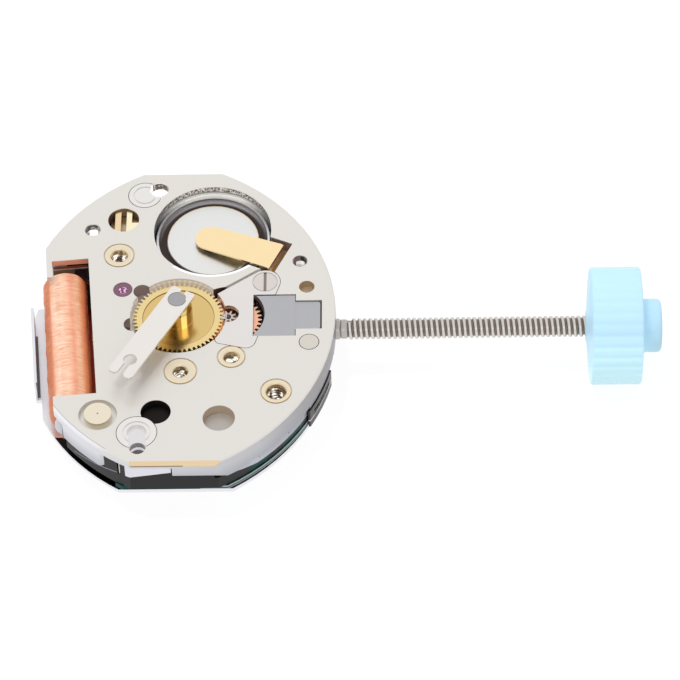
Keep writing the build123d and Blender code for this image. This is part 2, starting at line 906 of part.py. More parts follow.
def minute_train_bridge():
    outline = bridge_outline(0)
    outline -= spot(0, hour_recess_y, hour_recess_radius)
    outline -= cover_outline(cover_gap)
    outline -= spot(hand_gear_spacing, 0, bridge_star_hole_radius)
    outline -= spot(bridge_screw_x, bridge_screw_y, bridge_screw_radius + screw_gap)
    sink = spot(bridge_screw_x, bridge_screw_y, bridge_screw_head_radius + screw_gap)
    return slab(outline, 0, -bridge_thickness) - slab(sink, overrun, -bridge_screw_head_height)


def slotted_screw(head_radius, head_height, radius, length):
    """A screw with its head's face at zero and its shank going down."""
    head = disc(0, 0, head_radius, 0, -head_height)
    half = screw_slot_width / 2
    slot = block(-half, half, -head_radius, head_radius, overrun, -screw_slot_depth)
    return head + disc(0, 0, radius, -head_height, -length) - slot


def bridge_screw():
    screw = slotted_screw(
        bridge_screw_head_radius, bridge_screw_head_height, bridge_screw_radius, bridge_screw_length
    )
    return Pos(bridge_screw_x, bridge_screw_y) * screw


def transport_clip():
    """A sprung strip pushed on the cannon pinion's tip, with an open eye at its far end."""
    half = clip_width / 2
    outline = panel(-clip_heel, clip_reach, -half, half)
    outline -= Circle(cannon_radius + turning_gap)
    notch = clip_notch_width / 2
    outline -= panel(-clip_heel * 2, 0, -notch, notch)
    outline -= spot(clip_eye_reach, 0, clip_eye_radius)
    mouth = clip_mouth_width / 2
    outline -= panel(clip_eye_reach, clip_reach * 2, -mouth, mouth)
    clip = slab(outline, cannon_top, cannon_top - clip_thickness)
    upright = clip.edges().filter_by(Axis.Z).sort_by(Axis.X)
    clip = fillet(upright.group_by(Axis.X)[-1], (half - mouth) / 2 - turning_gap)
    upright = clip.edges().filter_by(Axis.Z)
    heel = upright.group_by(Axis.X)[0].sort_by(Axis.Y)
    clip = fillet([heel[0], heel[-1]], clip_heel_round)
    return Rot(0, 0, clip_angle) * clip


# Battery, its cell parts and its contact strap


def battery_can():
    top = battery_rim_top
    body = disc(battery_x, battery_y, battery_radius, top, top - battery_height)
    body = chamfer(body.edges().group_by(Axis.Z)[-1], battery_rim_bevel)
    body = chamfer(body.edges().group_by(Axis.Z)[0], battery_foot_bevel)
    return body - disc(
        battery_x, battery_y, battery_seal_outer_radius, top + overrun, top - battery_cap_depth
    )


def battery_gasket():
    floor = battery_rim_top - battery_cap_depth
    ring = spot(battery_x, battery_y, battery_seal_outer_radius)
    ring -= spot(battery_x, battery_y, battery_seal_inner_radius)
    return slab(ring, battery_rim_top - battery_seal_drop, floor)


def battery_cap():
    floor = battery_rim_top - battery_cap_depth
    body = disc(battery_x, battery_y, battery_seal_inner_radius, battery_cap_top, floor)
    return chamfer(body.edges().group_by(Axis.Z)[-1], battery_cap_bevel)


def contact_strap():
    """A bent spring: a foot in its pocket, a short wall and a long arm over the battery."""
    length = hypot(strap_tip_x - strap_foot_x, strap_tip_y - strap_foot_y)
    reach = length + strap_tip_width / 2 + overrun
    slope = (strap_tip_top - strap_top) / length
    tip_level = strap_top + slope * reach
    foot_top = strap_top - strap_foot_drop
    wall = strap_thickness
    bend_share = 1 - sin(radians(45))
    profile = Polyline(
        (0, strap_top - strap_bend_radius),
        (strap_bend_radius * bend_share, strap_top - strap_bend_radius * bend_share),
        (strap_bend_radius, strap_top),
        (reach, tip_level),
        (reach, tip_level - strap_thickness),
        (wall, strap_top - strap_thickness),
        (wall, foot_top),
        (wall + strap_foot_length, foot_top),
        (wall + strap_foot_length, foot_top - strap_thickness),
        (0, foot_top - strap_thickness),
        close=True,
    )
    side = Plane.XZ * make_face(profile)
    body = extrude(side, amount=strap_foot_width, both=True)
    body &= slab(strap_plan(0), overrun, -plate_thickness)
    dimple_bottom = battery_cap_top
    dimple = disc(length, 0, strap_dimple_radius, strap_tip_top - strap_thickness / 2, dimple_bottom)
    return strap_frame() * (body + dimple)


def contact_insulator():
    top = strap_top - strap_foot_drop - strap_thickness
    half = strap_foot_width / 2 + insulator_margin
    right = strap_thickness + strap_foot_length + insulator_margin
    sheet = strap_frame() * block(-insulator_margin, right, -half, half, top, top - insulator_thickness)
    well = disc(battery_x, battery_y, battery_radius + battery_gap, overrun, -plate_thickness)
    return sheet - well


# Winding stem and keyless works


def stem():
    half = stem_square / 2
    top = half - stem_depth
    body = block(stem_inner_end, stem_square_end, -half, half, top, top - stem_square)
    body += rod(stem_square_end, stem_groove_start, stem_shoulder_radius)
    body += rod(stem_groove_start, stem_groove_end, stem_groove_radius)
    body += rod(stem_groove_end, stem_collar_end, stem_collar_radius)
    return body + rod(stem_collar_end, stem_thread_end, stem_thread_radius)


def sliding_pinion():
    """Slides on the square of the stem, with a gear at the inner end and a groove for the yoke."""
    module = 2 * sliding_radius / (sliding_teeth + 2)
    gear = slab(gear_face(sliding_teeth, module, 0), sliding_gear_length, 0)
    groove_end = sliding_groove_start + sliding_groove_width
    body = gear + disc(0, 0, sliding_body_radius, sliding_groove_start, 0)
    body += disc(0, 0, sliding_groove_radius, groove_end, sliding_groove_start)
    body += disc(0, 0, sliding_body_radius, sliding_length, groove_end)
    hole = stem_square + 2 * sliding_gap
    body -= Box(hole, hole, plate_width)
    return Pos(sliding_start, 0, -stem_depth) * Rot(0, 90, 0) * body


def clutch_yoke():
    prong_left = sliding_start + sliding_groove_start + yoke_prong_gap
    prong_right = prong_left + sliding_groove_width - 2 * yoke_prong_gap
    outline = panel(prong_left, prong_right, yoke_prong_start, yoke_foot_end)
    outline += panel(yoke_foot_left, yoke_foot_right, yoke_foot_start, yoke_foot_end)
    half = yoke_thickness / 2
    return slab(outline, half - stem_depth, -half - stem_depth)


def setting_lever():
    """Turns on its round head in the plate, with a pin down in the groove of the stem."""
    bottom = lever_top - lever_thickness
    arm = link(
        lever_pivot_x, lever_pivot_y, lever_tail_radius, lever_arm_x, lever_arm_y, lever_arm_radius
    )
    body = slab(arm, lever_top, bottom)
    body += disc(lever_pivot_x, lever_pivot_y, lever_pivot_radius, 0, lever_top)
    return body + disc(lever_arm_x, lever_arm_y, lever_pin_radius, bottom, lever_pin_bottom)


def setting_cover():
    outline = cover_outline(0) - spot(hand_gear_spacing, 0, cover_hollow_radius)
    cover = slab(outline, cover_top, cover_top - cover_thickness)
    cover -= block(
        cover_right, plate_width, -plate_width, plate_width, overrun, cover_top - cover_tongue_step
    )
    end = cover_tongue_end - cover_tongue_slit
    cover -= block(end, plate_width, -plate_width, plate_width, overrun, -plate_thickness)
    corners = cover.edges().filter_by(Axis.Z).group_by(Axis.X)[-1]
    return fillet(corners, cover_corner)


def crown_outline(edge_drop):
    """The ribbed rim as straight sides between grooves."""
    rib_turn = 360 / crown_ribs
    corners = []
    for rib in range(crown_ribs):
        for share, drop in (
            (-crown_groove_share, 0),
            (0, crown_rib_depth),
            (crown_groove_share, 0),
        ):
            angle = radians((rib + share) * rib_turn)
            radius = crown_radius - drop - edge_drop
            corners.append((radius * cos(angle), radius * sin(angle)))
    return make_face(Polyline(*corners, close=True))


def crown():
    """A ribbed knob with a shallow cone on the stem's side and a small hub on its outer face."""
    bevel = crown_edge_bevel
    rim = slab(crown_outline(0), crown_length - bevel, bevel)
    body = rim + slab(crown_outline(bevel), crown_length, 0)
    body += Pos(0, 0, -crown_cone_length) * Cone(
        crown_cone_radius, crown_cone_rim_radius, crown_cone_length, align=base
    )
    hub = Pos(0, 0, crown_length) * Cylinder(crown_hub_radius, crown_hub_length, align=base)
    body += chamfer(hub.edges().group_by(Axis.Z)[-1], crown_hub_bevel)
    body -= Pos(0, 0, -crown_cone_length) * Cylinder(
        stem_thread_radius, stem_thread_end - crown_start + crown_cone_length, align=base
    )
    return Pos(crown_start, 0, -stem_depth) * Rot(0, 90, 0) * body


# Coil, stator and rotor


def coil_winding():
    """Fine wire wound on the core, drawn in at both ends, as one closed form."""
    points = (
        (core_half_width, coil_low),
        (coil_end_radius, coil_low),
        (coil_radius, coil_low + coil_taper),
        (coil_radius, coil_high - coil_taper),
        (coil_end_radius, coil_high),
        (core_half_width, coil_high),
    )
    inner = Polyline((0, coil_low), *points, (0, coil_high), close=True)
    body = revolve(make_face(inner), Axis.Y)
    body = Pos(0, 0, -coil_depth) * body
    body -= core_bar()
    return coil_frame * body


def core_bar():
    bar = panel(-core_half_width, core_half_width, core_low, core_high)
    return slab(bar, core_top, core_top - core_thickness)


def coil_core():
    high_pad = panel(core_pad_left, core_pad_right, coil_high + flange_thickness, core_high)
    low_pad = panel(core_low_pad_left, core_low_pad_right, core_low, coil_low - flange_thickness)
    pads = slab(high_pad + low_pad, core_top, core_top - core_thickness)
    return coil_frame * (core_bar() + pads)


def coil_flanges():
    side = Plane.XZ * Circle(flange_radius)
    cheek = extrude(side, amount=flange_thickness)
    low = Pos(0, coil_low, -coil_depth) * cheek
    high = Pos(0, coil_high + flange_thickness, -coil_depth) * cheek
    return coil_frame * ((low + high) - core_bar())


def stator():
    """A thin iron sheet that joins both ends of the core round the rotor."""
    place = coil_frame.inverse() * Pos(rotor_x, rotor_y)
    ring_u = place.position.X
    ring_v = place.position.Y
    pin_place = (coil_frame.inverse() * Pos(pin_x, pin_y)).position
    outline = link(
        stator_end_u, stator_end_v, stator_end_radius, pin_place.X, pin_place.Y, stator_pin_ring
    )
    arm_radius = stator_arm_radius
    outline += link(
        stator_arm_u, stator_arm_low_v, arm_radius, stator_arm_u, stator_arm_high_v, arm_radius
    )
    outline += link(
        stator_arm_u, stator_arm_high_v, arm_radius, ring_u, ring_v, stator_ring_radius
    )
    top_v = (coil_high + flange_thickness + core_high) / 2
    outline += link(core_pad_right, top_v, arm_radius, ring_u, ring_v, stator_ring_radius)
    outline += panel(core_pad_left, core_pad_right, coil_high + flange_thickness, core_high)
    outline -= panel(-plate_width, coil_radius + stator_gap, coil_low - flange_thickness, coil_high)
    outline = coil_frame * outline
    outline -= spot(pin_x, pin_y, pin_post_radius + stator_gap)
    outline -= spot(pillar_one_x, pillar_one_y, pillar_post_radius + stator_gap)
    outline -= spot(jewel_x, jewel_y, train_arbor_radius + 2 * stator_gap)
    outline -= spot(rotor_x, rotor_y, stator_hole_radius)
    for turn in (rotor_direction, rotor_direction + 180):
        x = rotor_x + stator_hole_radius * cos(radians(turn))
        y = rotor_y + stator_hole_radius * sin(radians(turn))
        outline -= spot(x, y, stator_notch_radius)
    inside_rim = oval(rim_width + stator_gap, rim_width + stator_gap)
    outline &= inside_rim + (coil_bay() & oval(stator_gap, stator_gap))
    return slab(outline, stator_top, core_top)


def arbor(x, y, top, bottom, radius):
    """A round arbor with a fine pivot at each end."""
    body = disc(x, y, radius, top, bottom)
    body += disc(x, y, train_pivot_radius, top + train_pivot_length, top)
    return body + disc(x, y, train_pivot_radius, bottom, bottom - train_pivot_length)


def rotor_magnet():
    bottom = rotor_magnet_top - rotor_magnet_thickness
    body = disc(rotor_x, rotor_y, rotor_magnet_radius, rotor_magnet_top, bottom)
    return body - disc(rotor_x, rotor_y, train_arbor_radius, overrun, bottom - overrun)


def rotor_pinion():
    leaves = gear_face(rotor_leaves, intermediate_module, rotor_pinion_phase)
    body = Pos(rotor_x, rotor_y) * slab(leaves, rotor_pinion_top, rotor_pinion_bottom)
    top = web_bottom - turning_gap
    return body + arbor(rotor_x, rotor_y, top, train_bridge_top + turning_gap, train_arbor_radius)


# Going train


def train_wheel(teeth, module, top):
    bottom = top - train_wheel_thickness
    radius = module * teeth / 2
    face = gear_face(teeth, module, 0) - spokes_cut(radius, 0)
    return slab(face, top, bottom)


def intermediate_wheel():
    wheel = train_wheel(intermediate_teeth, intermediate_module, intermediate_top)
    pinion = gear_face(intermediate_leaves, third_module, intermediate_pinion_phase)
    wheel += slab(pinion, intermediate_pinion_top, intermediate_pinion_bottom)
    top = jewel_top - jewel_thickness - turning_gap
    wheel += arbor(0, 0, top, train_bridge_top + turning_gap, train_arbor_radius)
    return Pos(jewel_x, jewel_y) * wheel


def third_wheel():
    wheel = train_wheel(third_teeth, third_module, third_top)
    pinion = gear_face(third_leaves, centre_module, third_pinion_phase)
    wheel += slab(pinion, third_pinion_top, third_pinion_bottom)
    top = web_bottom - turning_gap
    wheel += arbor(0, 0, top, train_bridge_top + turning_gap, train_arbor_radius)
    return Pos(third_x, third_y) * wheel


def centre_wheel():
    wheel = train_wheel(centre_teeth, centre_module, centre_top)
    wheel += disc(0, 0, centre_arbor_radius, centre_arbor_top, train_bridge_top + turning_gap)
    pivot_top = train_bridge_top + turning_gap
    return wheel + disc(0, 0, train_pivot_radius, pivot_top, pivot_top - train_pivot_length)


def bridge_bearings():
    """The places of the train's lower pivots, jewelled ones first."""
    return ((rotor_x, rotor_y), (jewel_x, jewel_y), (third_x, third_y))


def bridge_screw_places():
    return (
        (pillar_one_x, pillar_one_y),
        (pillar_two_x, pillar_two_y),
        (pillar_four_x, pillar_four_y),
    )


def train_bridge_outline(gap):
    ends = Sketch()
    for x, y in bridge_screw_places():
        ends += spot(x, y, train_bridge_end_radius + gap)
    for x, y in bridge_bearings():
        ends += spot(x, y, train_bridge_waist_radius + gap)
    return make_hull(ends.edges())


def train_bridge():
    bottom = train_bridge_top - train_bridge_thickness
    bridge = slab(train_bridge_outline(0), train_bridge_top, bottom)
    for x, y in bridge_screw_places():
        bridge -= disc(x, y, back_screw_radius + screw_gap, train_bridge_top + overrun, bottom)
        sink = bottom + back_screw_head_height / 2
        bridge -= disc(x, y, back_screw_head_radius + screw_gap, sink, bottom - overrun)
    for x, y in bridge_bearings():
        bridge -= disc(x, y, back_jewel_radius, train_bridge_top - turning_gap, bottom - overrun)
        bridge -= disc(x, y, jewel_hole_radius, train_bridge_top + overrun, bottom)
    return bridge - disc(0, 0, jewel_hole_radius, train_bridge_top + overrun, bottom - overrun)


def back_jewels():
    stones = []
    top = train_bridge_top - turning_gap
    for x, y in bridge_bearings():
        stone = disc(x, y, back_jewel_radius, top, top - back_jewel_thickness)
        stones.append(stone - disc(x, y, jewel_hole_radius, top + overrun, top - overrun))
    return Compound(children=stones)


def back_screws():
    """Three screws that go up into the pillars from the back."""
    bottom = train_bridge_top - train_bridge_thickness - back_screw_head_height / 2
    screw = Rot(180, 0, 0) * slotted_screw(
        back_screw_head_radius, back_screw_head_height, back_screw_radius, back_screw_length
    )
    return Compound(children=[Pos(x, y, bottom) * screw for x, y in bridge_screw_places()])


# Electronic module, back cover and bridle


def frame_cuts():
    """What the black frames leave free: train, battery, coil, crystal, keyless works and posts."""
    cuts = Circle(train_room_radius) + train_bridge_outline(spacer_gap)
    cuts += spot(battery_x, battery_y, battery_radius + 2 * battery_gap)
    cuts += coil_bay()
    cuts += crystal_cut(crystal_gap)
    intermediate_tip = intermediate_module * (intermediate_teeth / 2 + 1)
    for x, y, radius in (
        (jewel_x, jewel_y, intermediate_tip),
        (pillar_three_x, pillar_three_y, pillar_post_radius),
        (pin_x, pin_y, pin_post_radius),
        (side_hole_x, side_hole_y, side_hole_radius),
        (eccentric_x, eccentric_y, eccentric_radius),
    ):
        cuts += spot(x, y, radius + spacer_gap)
    return cuts


def module_spacer():
    """The lower black frame, which shows under the lip of the plate's straight end."""
    outline = oval(spacer_side_inset, spacer_end_inset)
    low = -plate_length / 2 + spacer_end_inset
    high = -plate_length / 2 + end_notch_depth - spacer_gap
    lower = outline & panel(-plate_width, plate_width, -plate_length, keyless_low)
    frame = slab(lower - frame_cuts(), spacer_top, spacer_bottom)
    under_lip = outline & panel(end_lip_start + spacer_gap, end_lip_end - spacer_gap, low, high)
    corner_high = -plate_length / 2 + end_corner_depth - spacer_gap
    under_lip += outline & panel(
        end_lip_start + spacer_gap, end_corner_right - spacer_gap, low, corner_high
    )
    under_side = outline & panel(end_lip_end - spacer_gap, end_side_slant - spacer_gap, low, high)
    frame += slab(under_lip, -end_lip_drop, spacer_top)
    frame += slab(under_side, -end_side_drop, spacer_top)
    frame += disc(
        black_hole_x, black_hole_y, black_hole_radius - spacer_peg_gap, spacer_peg_top, spacer_top
    )
    return frame


def battery_frame():
    """The upper black frame, round the battery."""
    outline = oval(frame_inset, frame_inset)
    outline &= panel(-plate_width, plate_width, keyless_high, plate_length)
    return slab(outline - frame_cuts(), spacer_top, frame_bottom)


def circuit_board():
    outline = under_outline(board_side_inset, board_end_inset)
    outline &= panel(board_left, plate_width, -plate_length, board_high)
    outline -= Circle(train_room_radius)
    outline -= crystal_cut(crystal_gap)
    outline -= spot(pillar_three_x, pillar_three_y, pillar_post_radius + spacer_gap)
    return slab(outline, spacer_bottom, module_bottom)


def quartz_crystal():
    half = crystal_length / 2
    can = Pos(-half, 0, 0) * Rot(0, 90, 0) * Cylinder(crystal_radius, crystal_length, align=base)
    can = chamfer(can.edges().filter_by(GeomType.CIRCLE), crystal_bevel)
    return Pos(crystal_x, crystal_y, -crystal_depth) * Rot(0, 0, crystal_angle) * can


def logic_chip():
    chip = Pos(chip_x, chip_y, module_bottom - chip_height) * Box(
        chip_width, chip_length, chip_height, align=base
    )
    return chamfer(chip.edges().group_by(Axis.Z)[0], chip_bevel)


def side_leaf():
    """A thin bent leaf of steel that stands beside the module, with a long slot."""
    ring = oval(-side_leaf_outset, 0) - oval(side_leaf_inset, 0)
    leaf = slab(
        ring & panel(0, plate_width, side_leaf_low, side_leaf_high), side_leaf_top, side_leaf_bottom
    )
    return leaf - block(
        0, plate_width, side_leaf_slot_low, side_leaf_slot_high, side_leaf_slot_top, side_leaf_slot_bottom
    )


def cover_screw_places():
    return ((pillar_three_x, pillar_three_y), (pin_x, pin_y))


def back_cover():
    """A sheet over the module and the coil, with a lip turned up beside the coil."""
    bottom = cover_sheet_top - cover_sheet_thickness
    outline = under_outline(cover_sheet_side_inset, cover_sheet_end_inset)
    beside_coil = coil_frame * panel(
        -plate_width, coil_bay_right + cover_coil_shelf, 0, cover_sheet_coil_high
    )
    under_keyless = panel(cover_shelf_left, cover_shelf_right, 0, cover_shelf_high)
    reach = panel(-plate_width, plate_width, -plate_length, cover_sheet_high)
    outline &= reach + beside_coil + under_keyless
    outline -= coil_frame * panel(-plate_width, cover_sheet_cut, cover_sheet_step_v, plate_length)
    outline -= coil_frame * panel(
        -plate_width, cover_sheet_step, cover_sheet_step_low, cover_sheet_step_v
    )
    for x, y in bridge_bearings():
        outline -= spot(x, y, cover_window_radius)
    for x, y in bridge_screw_places():
        outline -= spot(x, y, back_screw_head_radius + spacer_gap)
    cover = slab(outline, cover_sheet_top, bottom)
    lip_edge = cover_sheet_cut + cover_lip_thickness
    lip = panel(cover_sheet_cut, lip_edge, cover_lip_low, cover_lip_high)
    cover += coil_frame * slab(lip, cover_lip_top, bottom)
    for x, y in cover_screw_places():
        cover -= disc(x, y, back_screw_radius + screw_gap, overrun, bottom - overrun)
        cover -= disc(
            x, y, cover_screw_head_radius + screw_gap, bottom + cover_sink_depth, bottom - overrun
        )
    return cover


def cover_screws():
    bottom = cover_sheet_top - cover_sheet_thickness
    screw = Rot(180, 0, 0) * slotted_screw(
        cover_screw_head_radius, cover_sink_depth, back_screw_radius, cover_screw_length
    )
    return Compound(children=[Pos(x, y, bottom) * screw for x, y in cover_screw_places()])


def battery_bridle():
    """A flat spring under the battery, held by a screw beside it."""
    near = link(side_hole_x, side_hole_y, bridle_arm_radius, battery_x, battery_y, bridle_pad_radius)
    far = link(battery_x, battery_y, bridle_pad_radius, bridle_far_x, bridle_far_y, bridle_arm_radius)
    sheet = slab(near + far, bridle_top, bridle_top - bridle_thickness)
    return sheet - disc(side_hole_x, side_hole_y, side_hole_radius, overrun, cover_sheet_top - overrun)


def bridle_screw():
    bottom = bridle_top - bridle_thickness - back_screw_head_height
    screw = Rot(180, 0, 0) * slotted_screw(
        back_screw_head_radius, back_screw_head_height, side_hole_radius - screw_gap, bridle_screw_length
    )
    return Pos(side_hole_x, side_hole_y, bottom) * screw


def write_parts():
    parts = {
        "main_plate": main_plate(),
        "screw_pillar_upper_left": pillar(
            pillar_one_x, pillar_one_y, pillar_head_radius, pillar_bore_radius, train_bridge_top
        ),
        "screw_pillar_lower": pillar(
            pillar_two_x, pillar_two_y, pillar_two_head_radius, pillar_two_bore_radius, train_bridge_top
        ),
        "screw_pillar_open": pillar(
            pillar_three_x, pillar_three_y, pillar_head_radius, pillar_three_bore_radius, cover_sheet_top
        ),
        "screw_pillar_right": pillar(
            pillar_four_x, pillar_four_y, pillar_four_head_radius, pillar_four_bore_radius, train_bridge_top
        ),
        "locating_pin": locating_pin(),
        "contact_eccentric": contact_eccentric(),
        "plate_jewel": plate_jewel(),
        "dial_foot_clamp_upper": dial_foot_clamp_upper(),
        "dial_foot_clamp_lower": dial_foot_clamp_lower(),
        "hour_wheel": hour_wheel(),
        "cannon_pinion": cannon_pinion(),
        "minute_wheel": minute_wheel(),
        "minute_train_bridge": minute_train_bridge(),
        "bridge_screw": bridge_screw(),
        "transport_clip": transport_clip(),
        "battery_can": battery_can(),
        "battery_gasket": battery_gasket(),
        "battery_cap": battery_cap(),
        "contact_strap": contact_strap(),
        "contact_insulator": contact_insulator(),
        "stem": stem(),
        "crown": crown(),
        "sliding_pinion": sliding_pinion(),
        "clutch_yoke": clutch_yoke(),
        "setting_lever": setting_lever(),
        "setting_cover": setting_cover(),
        "coil_winding": coil_winding(),
        "coil_core": coil_core(),
        "coil_flanges": coil_flanges(),
        "stator": stator(),
        "rotor_magnet": rotor_magnet(),
        "rotor_pinion": rotor_pinion(),
        "intermediate_wheel": intermediate_wheel(),
        "third_wheel": third_wheel(),
        "centre_wheel": centre_wheel(),
        "train_bridge": train_bridge(),
        "back_jewels": back_jewels(),
        "back_screws": back_screws(),
        "module_spacer": module_spacer(),
        "battery_frame": battery_frame(),
        "circuit_board": circuit_board(),
        "quartz_crystal": quartz_crystal(),
        "logic_chip": logic_chip(),
        "side_leaf": side_leaf(),
        "back_cover": back_cover(),
        "cover_screws": cover_screws(),
        "battery_bridle": battery_bridle(),
        "bridle_screw": bridle_screw(),
    }
    os.makedirs("parts", exist_ok=True)
    for name, solid in parts.items():
        export_step(solid, f"parts/{name}.step")


write_parts()
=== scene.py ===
from math import atan2, cos, pi, radians, sin

import bmesh
import bpy
from mathutils import Matrix, Vector


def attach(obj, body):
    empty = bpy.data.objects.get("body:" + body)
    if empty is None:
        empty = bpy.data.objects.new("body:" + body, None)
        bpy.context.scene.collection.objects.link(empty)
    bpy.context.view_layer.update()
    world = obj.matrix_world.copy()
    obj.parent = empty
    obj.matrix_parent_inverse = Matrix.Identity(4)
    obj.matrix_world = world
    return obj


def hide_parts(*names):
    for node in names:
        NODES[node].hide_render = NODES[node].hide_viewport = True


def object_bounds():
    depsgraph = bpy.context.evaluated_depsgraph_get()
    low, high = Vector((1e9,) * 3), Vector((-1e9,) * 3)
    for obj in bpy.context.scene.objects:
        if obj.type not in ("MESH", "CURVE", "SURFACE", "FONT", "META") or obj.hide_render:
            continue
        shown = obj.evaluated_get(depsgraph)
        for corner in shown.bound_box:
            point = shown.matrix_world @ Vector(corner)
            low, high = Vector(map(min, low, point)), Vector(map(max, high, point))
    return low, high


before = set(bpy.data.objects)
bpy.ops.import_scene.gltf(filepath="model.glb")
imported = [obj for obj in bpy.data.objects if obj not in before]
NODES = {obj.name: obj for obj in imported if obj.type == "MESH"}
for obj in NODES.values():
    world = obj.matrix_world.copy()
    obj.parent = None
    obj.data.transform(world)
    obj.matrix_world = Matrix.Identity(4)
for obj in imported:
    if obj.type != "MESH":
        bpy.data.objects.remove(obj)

bl_info = {
    "name": "Quartz watch movement",
    "version": (1, 0, 0),
    "blender": (4, 5, 0),
    "location": "View3D > Sidebar > Movement",
    "description": "Thread, winding, crown and metal finishes of a small quartz watch movement",
    "category": "Object",
}

CAD_BOX = [list(corner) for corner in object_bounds()]
MM = 0.001

# Places that the pieces share, in millimetres
STEM_Z = -1.06
THREAD_START, THREAD_END = 6.90, 17.5
COIL_X, COIL_Y, COIL_Z, COIL_TILT = -4.515, -1.32, -1.25, radians(5)
COIL_SLOPE = 0.0875  # tangent of the tilt
CELL_X, CELL_Y = 1.31, 4.57
MINUTE_X = 2.05
DARK_HOLE = (-0.76, -5.13, 0.63)
ARC_X = 2.30  # centres of the plate's two side arcs, to the left and right
# Axis and bore radius of each pillar
PILLARS = {
    "upper_left": (-2.54, 3.25, 0.33),
    "lower": (0.17, -3.02, 0.29),
    "open": (4.06, -4.12, 0.39),
    "right": (2.22, -2.29, 0.30),
}

BLACK = (0, 0, 0)
PLASTIC_BLACK = (0.012, 0.012, 0.013)
BOARD_GREEN = (0.006, 0.055, 0.05)

# Sockets that share a name with others on the Mix and Map Range nodes
MIX_SHARE, MIX_LOW, MIX_HIGH, MIX_RESULT = 0, 6, 7, 2
RANGE_TO_MIN, RANGE_TO_MAX = 3, 4


def tint(colour, *shares):
    """The colour times one share, or times one share for each channel."""
    return [c * s for c, s in zip(colour, shares * 3 if len(shares) == 1 else shares)]


class WinderSettings(bpy.types.PropertyGroup):
    """Sizes and colours of the stem and crown"""
    thread_pitch: bpy.props.FloatProperty(
        name="Thread pitch", description="Rise of one turn of the stem's thread",
        default=0.225 * MM, subtype="DISTANCE", unit="LENGTH",
    )
    thread_radius: bpy.props.FloatProperty(
        name="Thread radius", description="Outer radius of the stem's thread",
        default=0.44 * MM, subtype="DISTANCE", unit="LENGTH",
    )
    thread_depth: bpy.props.FloatProperty(
        name="Thread depth", description="Height of the stem's thread above its root",
        default=0.095 * MM, subtype="DISTANCE", unit="LENGTH",
    )
    crown_ribs: bpy.props.IntProperty(
        name="Crown ribs", description="Number of ribs round the crown", default=32, min=8,
    )
    crown_rib_depth: bpy.props.FloatProperty(
        name="Rib depth", description="Depth of the grooves between the crown's ribs",
        default=0.025 * MM, subtype="DISTANCE", unit="LENGTH",
    )
    crown_blue: bpy.props.FloatVectorProperty(
        name="Crown colour", description="Pale blue of the setting crown",
        default=(0.54, 0.82, 1.0), subtype="COLOR", min=0, max=1,
    )
    thread_steel: bpy.props.FloatVectorProperty(
        name="Thread steel", description="Steel of the stem",
        default=(0.56, 0.53, 0.50), subtype="COLOR", min=0, max=1,
    )


class MetalSettings(bpy.types.PropertyGroup):
    """Colours of the metals and stones"""
    nickel: bpy.props.FloatVectorProperty(
        name="Nickel plating", description="Bright plating of the main plate",
        default=(0.775, 0.745, 0.705), subtype="COLOR", min=0, max=1,
    )
    brass: bpy.props.FloatVectorProperty(
        name="Bare brass", description="Brass of the pillars and bare edges",
        default=(0.80, 0.72, 0.575), subtype="COLOR", min=0, max=1,
    )
    gilt: bpy.props.FloatVectorProperty(
        name="Gilt wheels", description="Gilding of the hour wheel",
        default=(0.74, 0.54, 0.225), subtype="COLOR", min=0, max=1,
    )
    strap_gold: bpy.props.FloatVectorProperty(
        name="Contact gold", description="Gold plating of the battery contact",
        default=(1.0, 0.79, 0.47), subtype="COLOR", min=0, max=1,
    )
    grey_steel: bpy.props.FloatVectorProperty(
        name="Grey steel", description="Steel of the setting cover",
        default=(0.48, 0.48, 0.505), subtype="COLOR", min=0, max=1,
    )
    wire_copper: bpy.props.FloatVectorProperty(
        name="Coil wire", description="Enamelled copper of the coil",
        default=(0.95, 0.53, 0.34), subtype="COLOR", min=0, max=1,
    )
    ruby: bpy.props.FloatVectorProperty(
        name="Ruby", description="Stone of the bearings",
        default=(0.23, 0.04, 0.12), subtype="COLOR", min=0, max=1,
    )


# Shader sums on sockets


class Level:
    """A number socket that takes part in plain sums."""

    def __init__(self, finish, socket):
        self.finish = finish
        self.socket = socket

    def join(self, operation, other):
        return self.finish.node("Math", {"operation": operation}, self, other)

    def __add__(self, other):
        return self.join("ADD", other)

    def __sub__(self, other):
        return self.join("SUBTRACT", other)

    def __rsub__(self, other):
        return self.finish.node("Math", {"operation": "SUBTRACT"}, other, self)

    def __mul__(self, other):
        return self.join("MULTIPLY", other)

    def __truediv__(self, other):
        return self.join("DIVIDE", other)

    def __pow__(self, other):
        return self.join("POWER", other)

    def __lt__(self, other):
        return self.join("LESS_THAN", other)

    def __gt__(self, other):
        return self.join("GREATER_THAN", other)

    def share(self, start, end):
        """Runs from 0 at the start to 1 at the end, and stays there."""
        return ((self - start) / (end - start)).at_least(0.0).at_most(1.0)

    def within(self, low, high):
        """One between the two values, else zero."""
        return (self > low) * (self < high)

    def at_most(self, other):
        return self.join("MINIMUM", other)

    def at_least(self, other):
        return self.join("MAXIMUM", other)


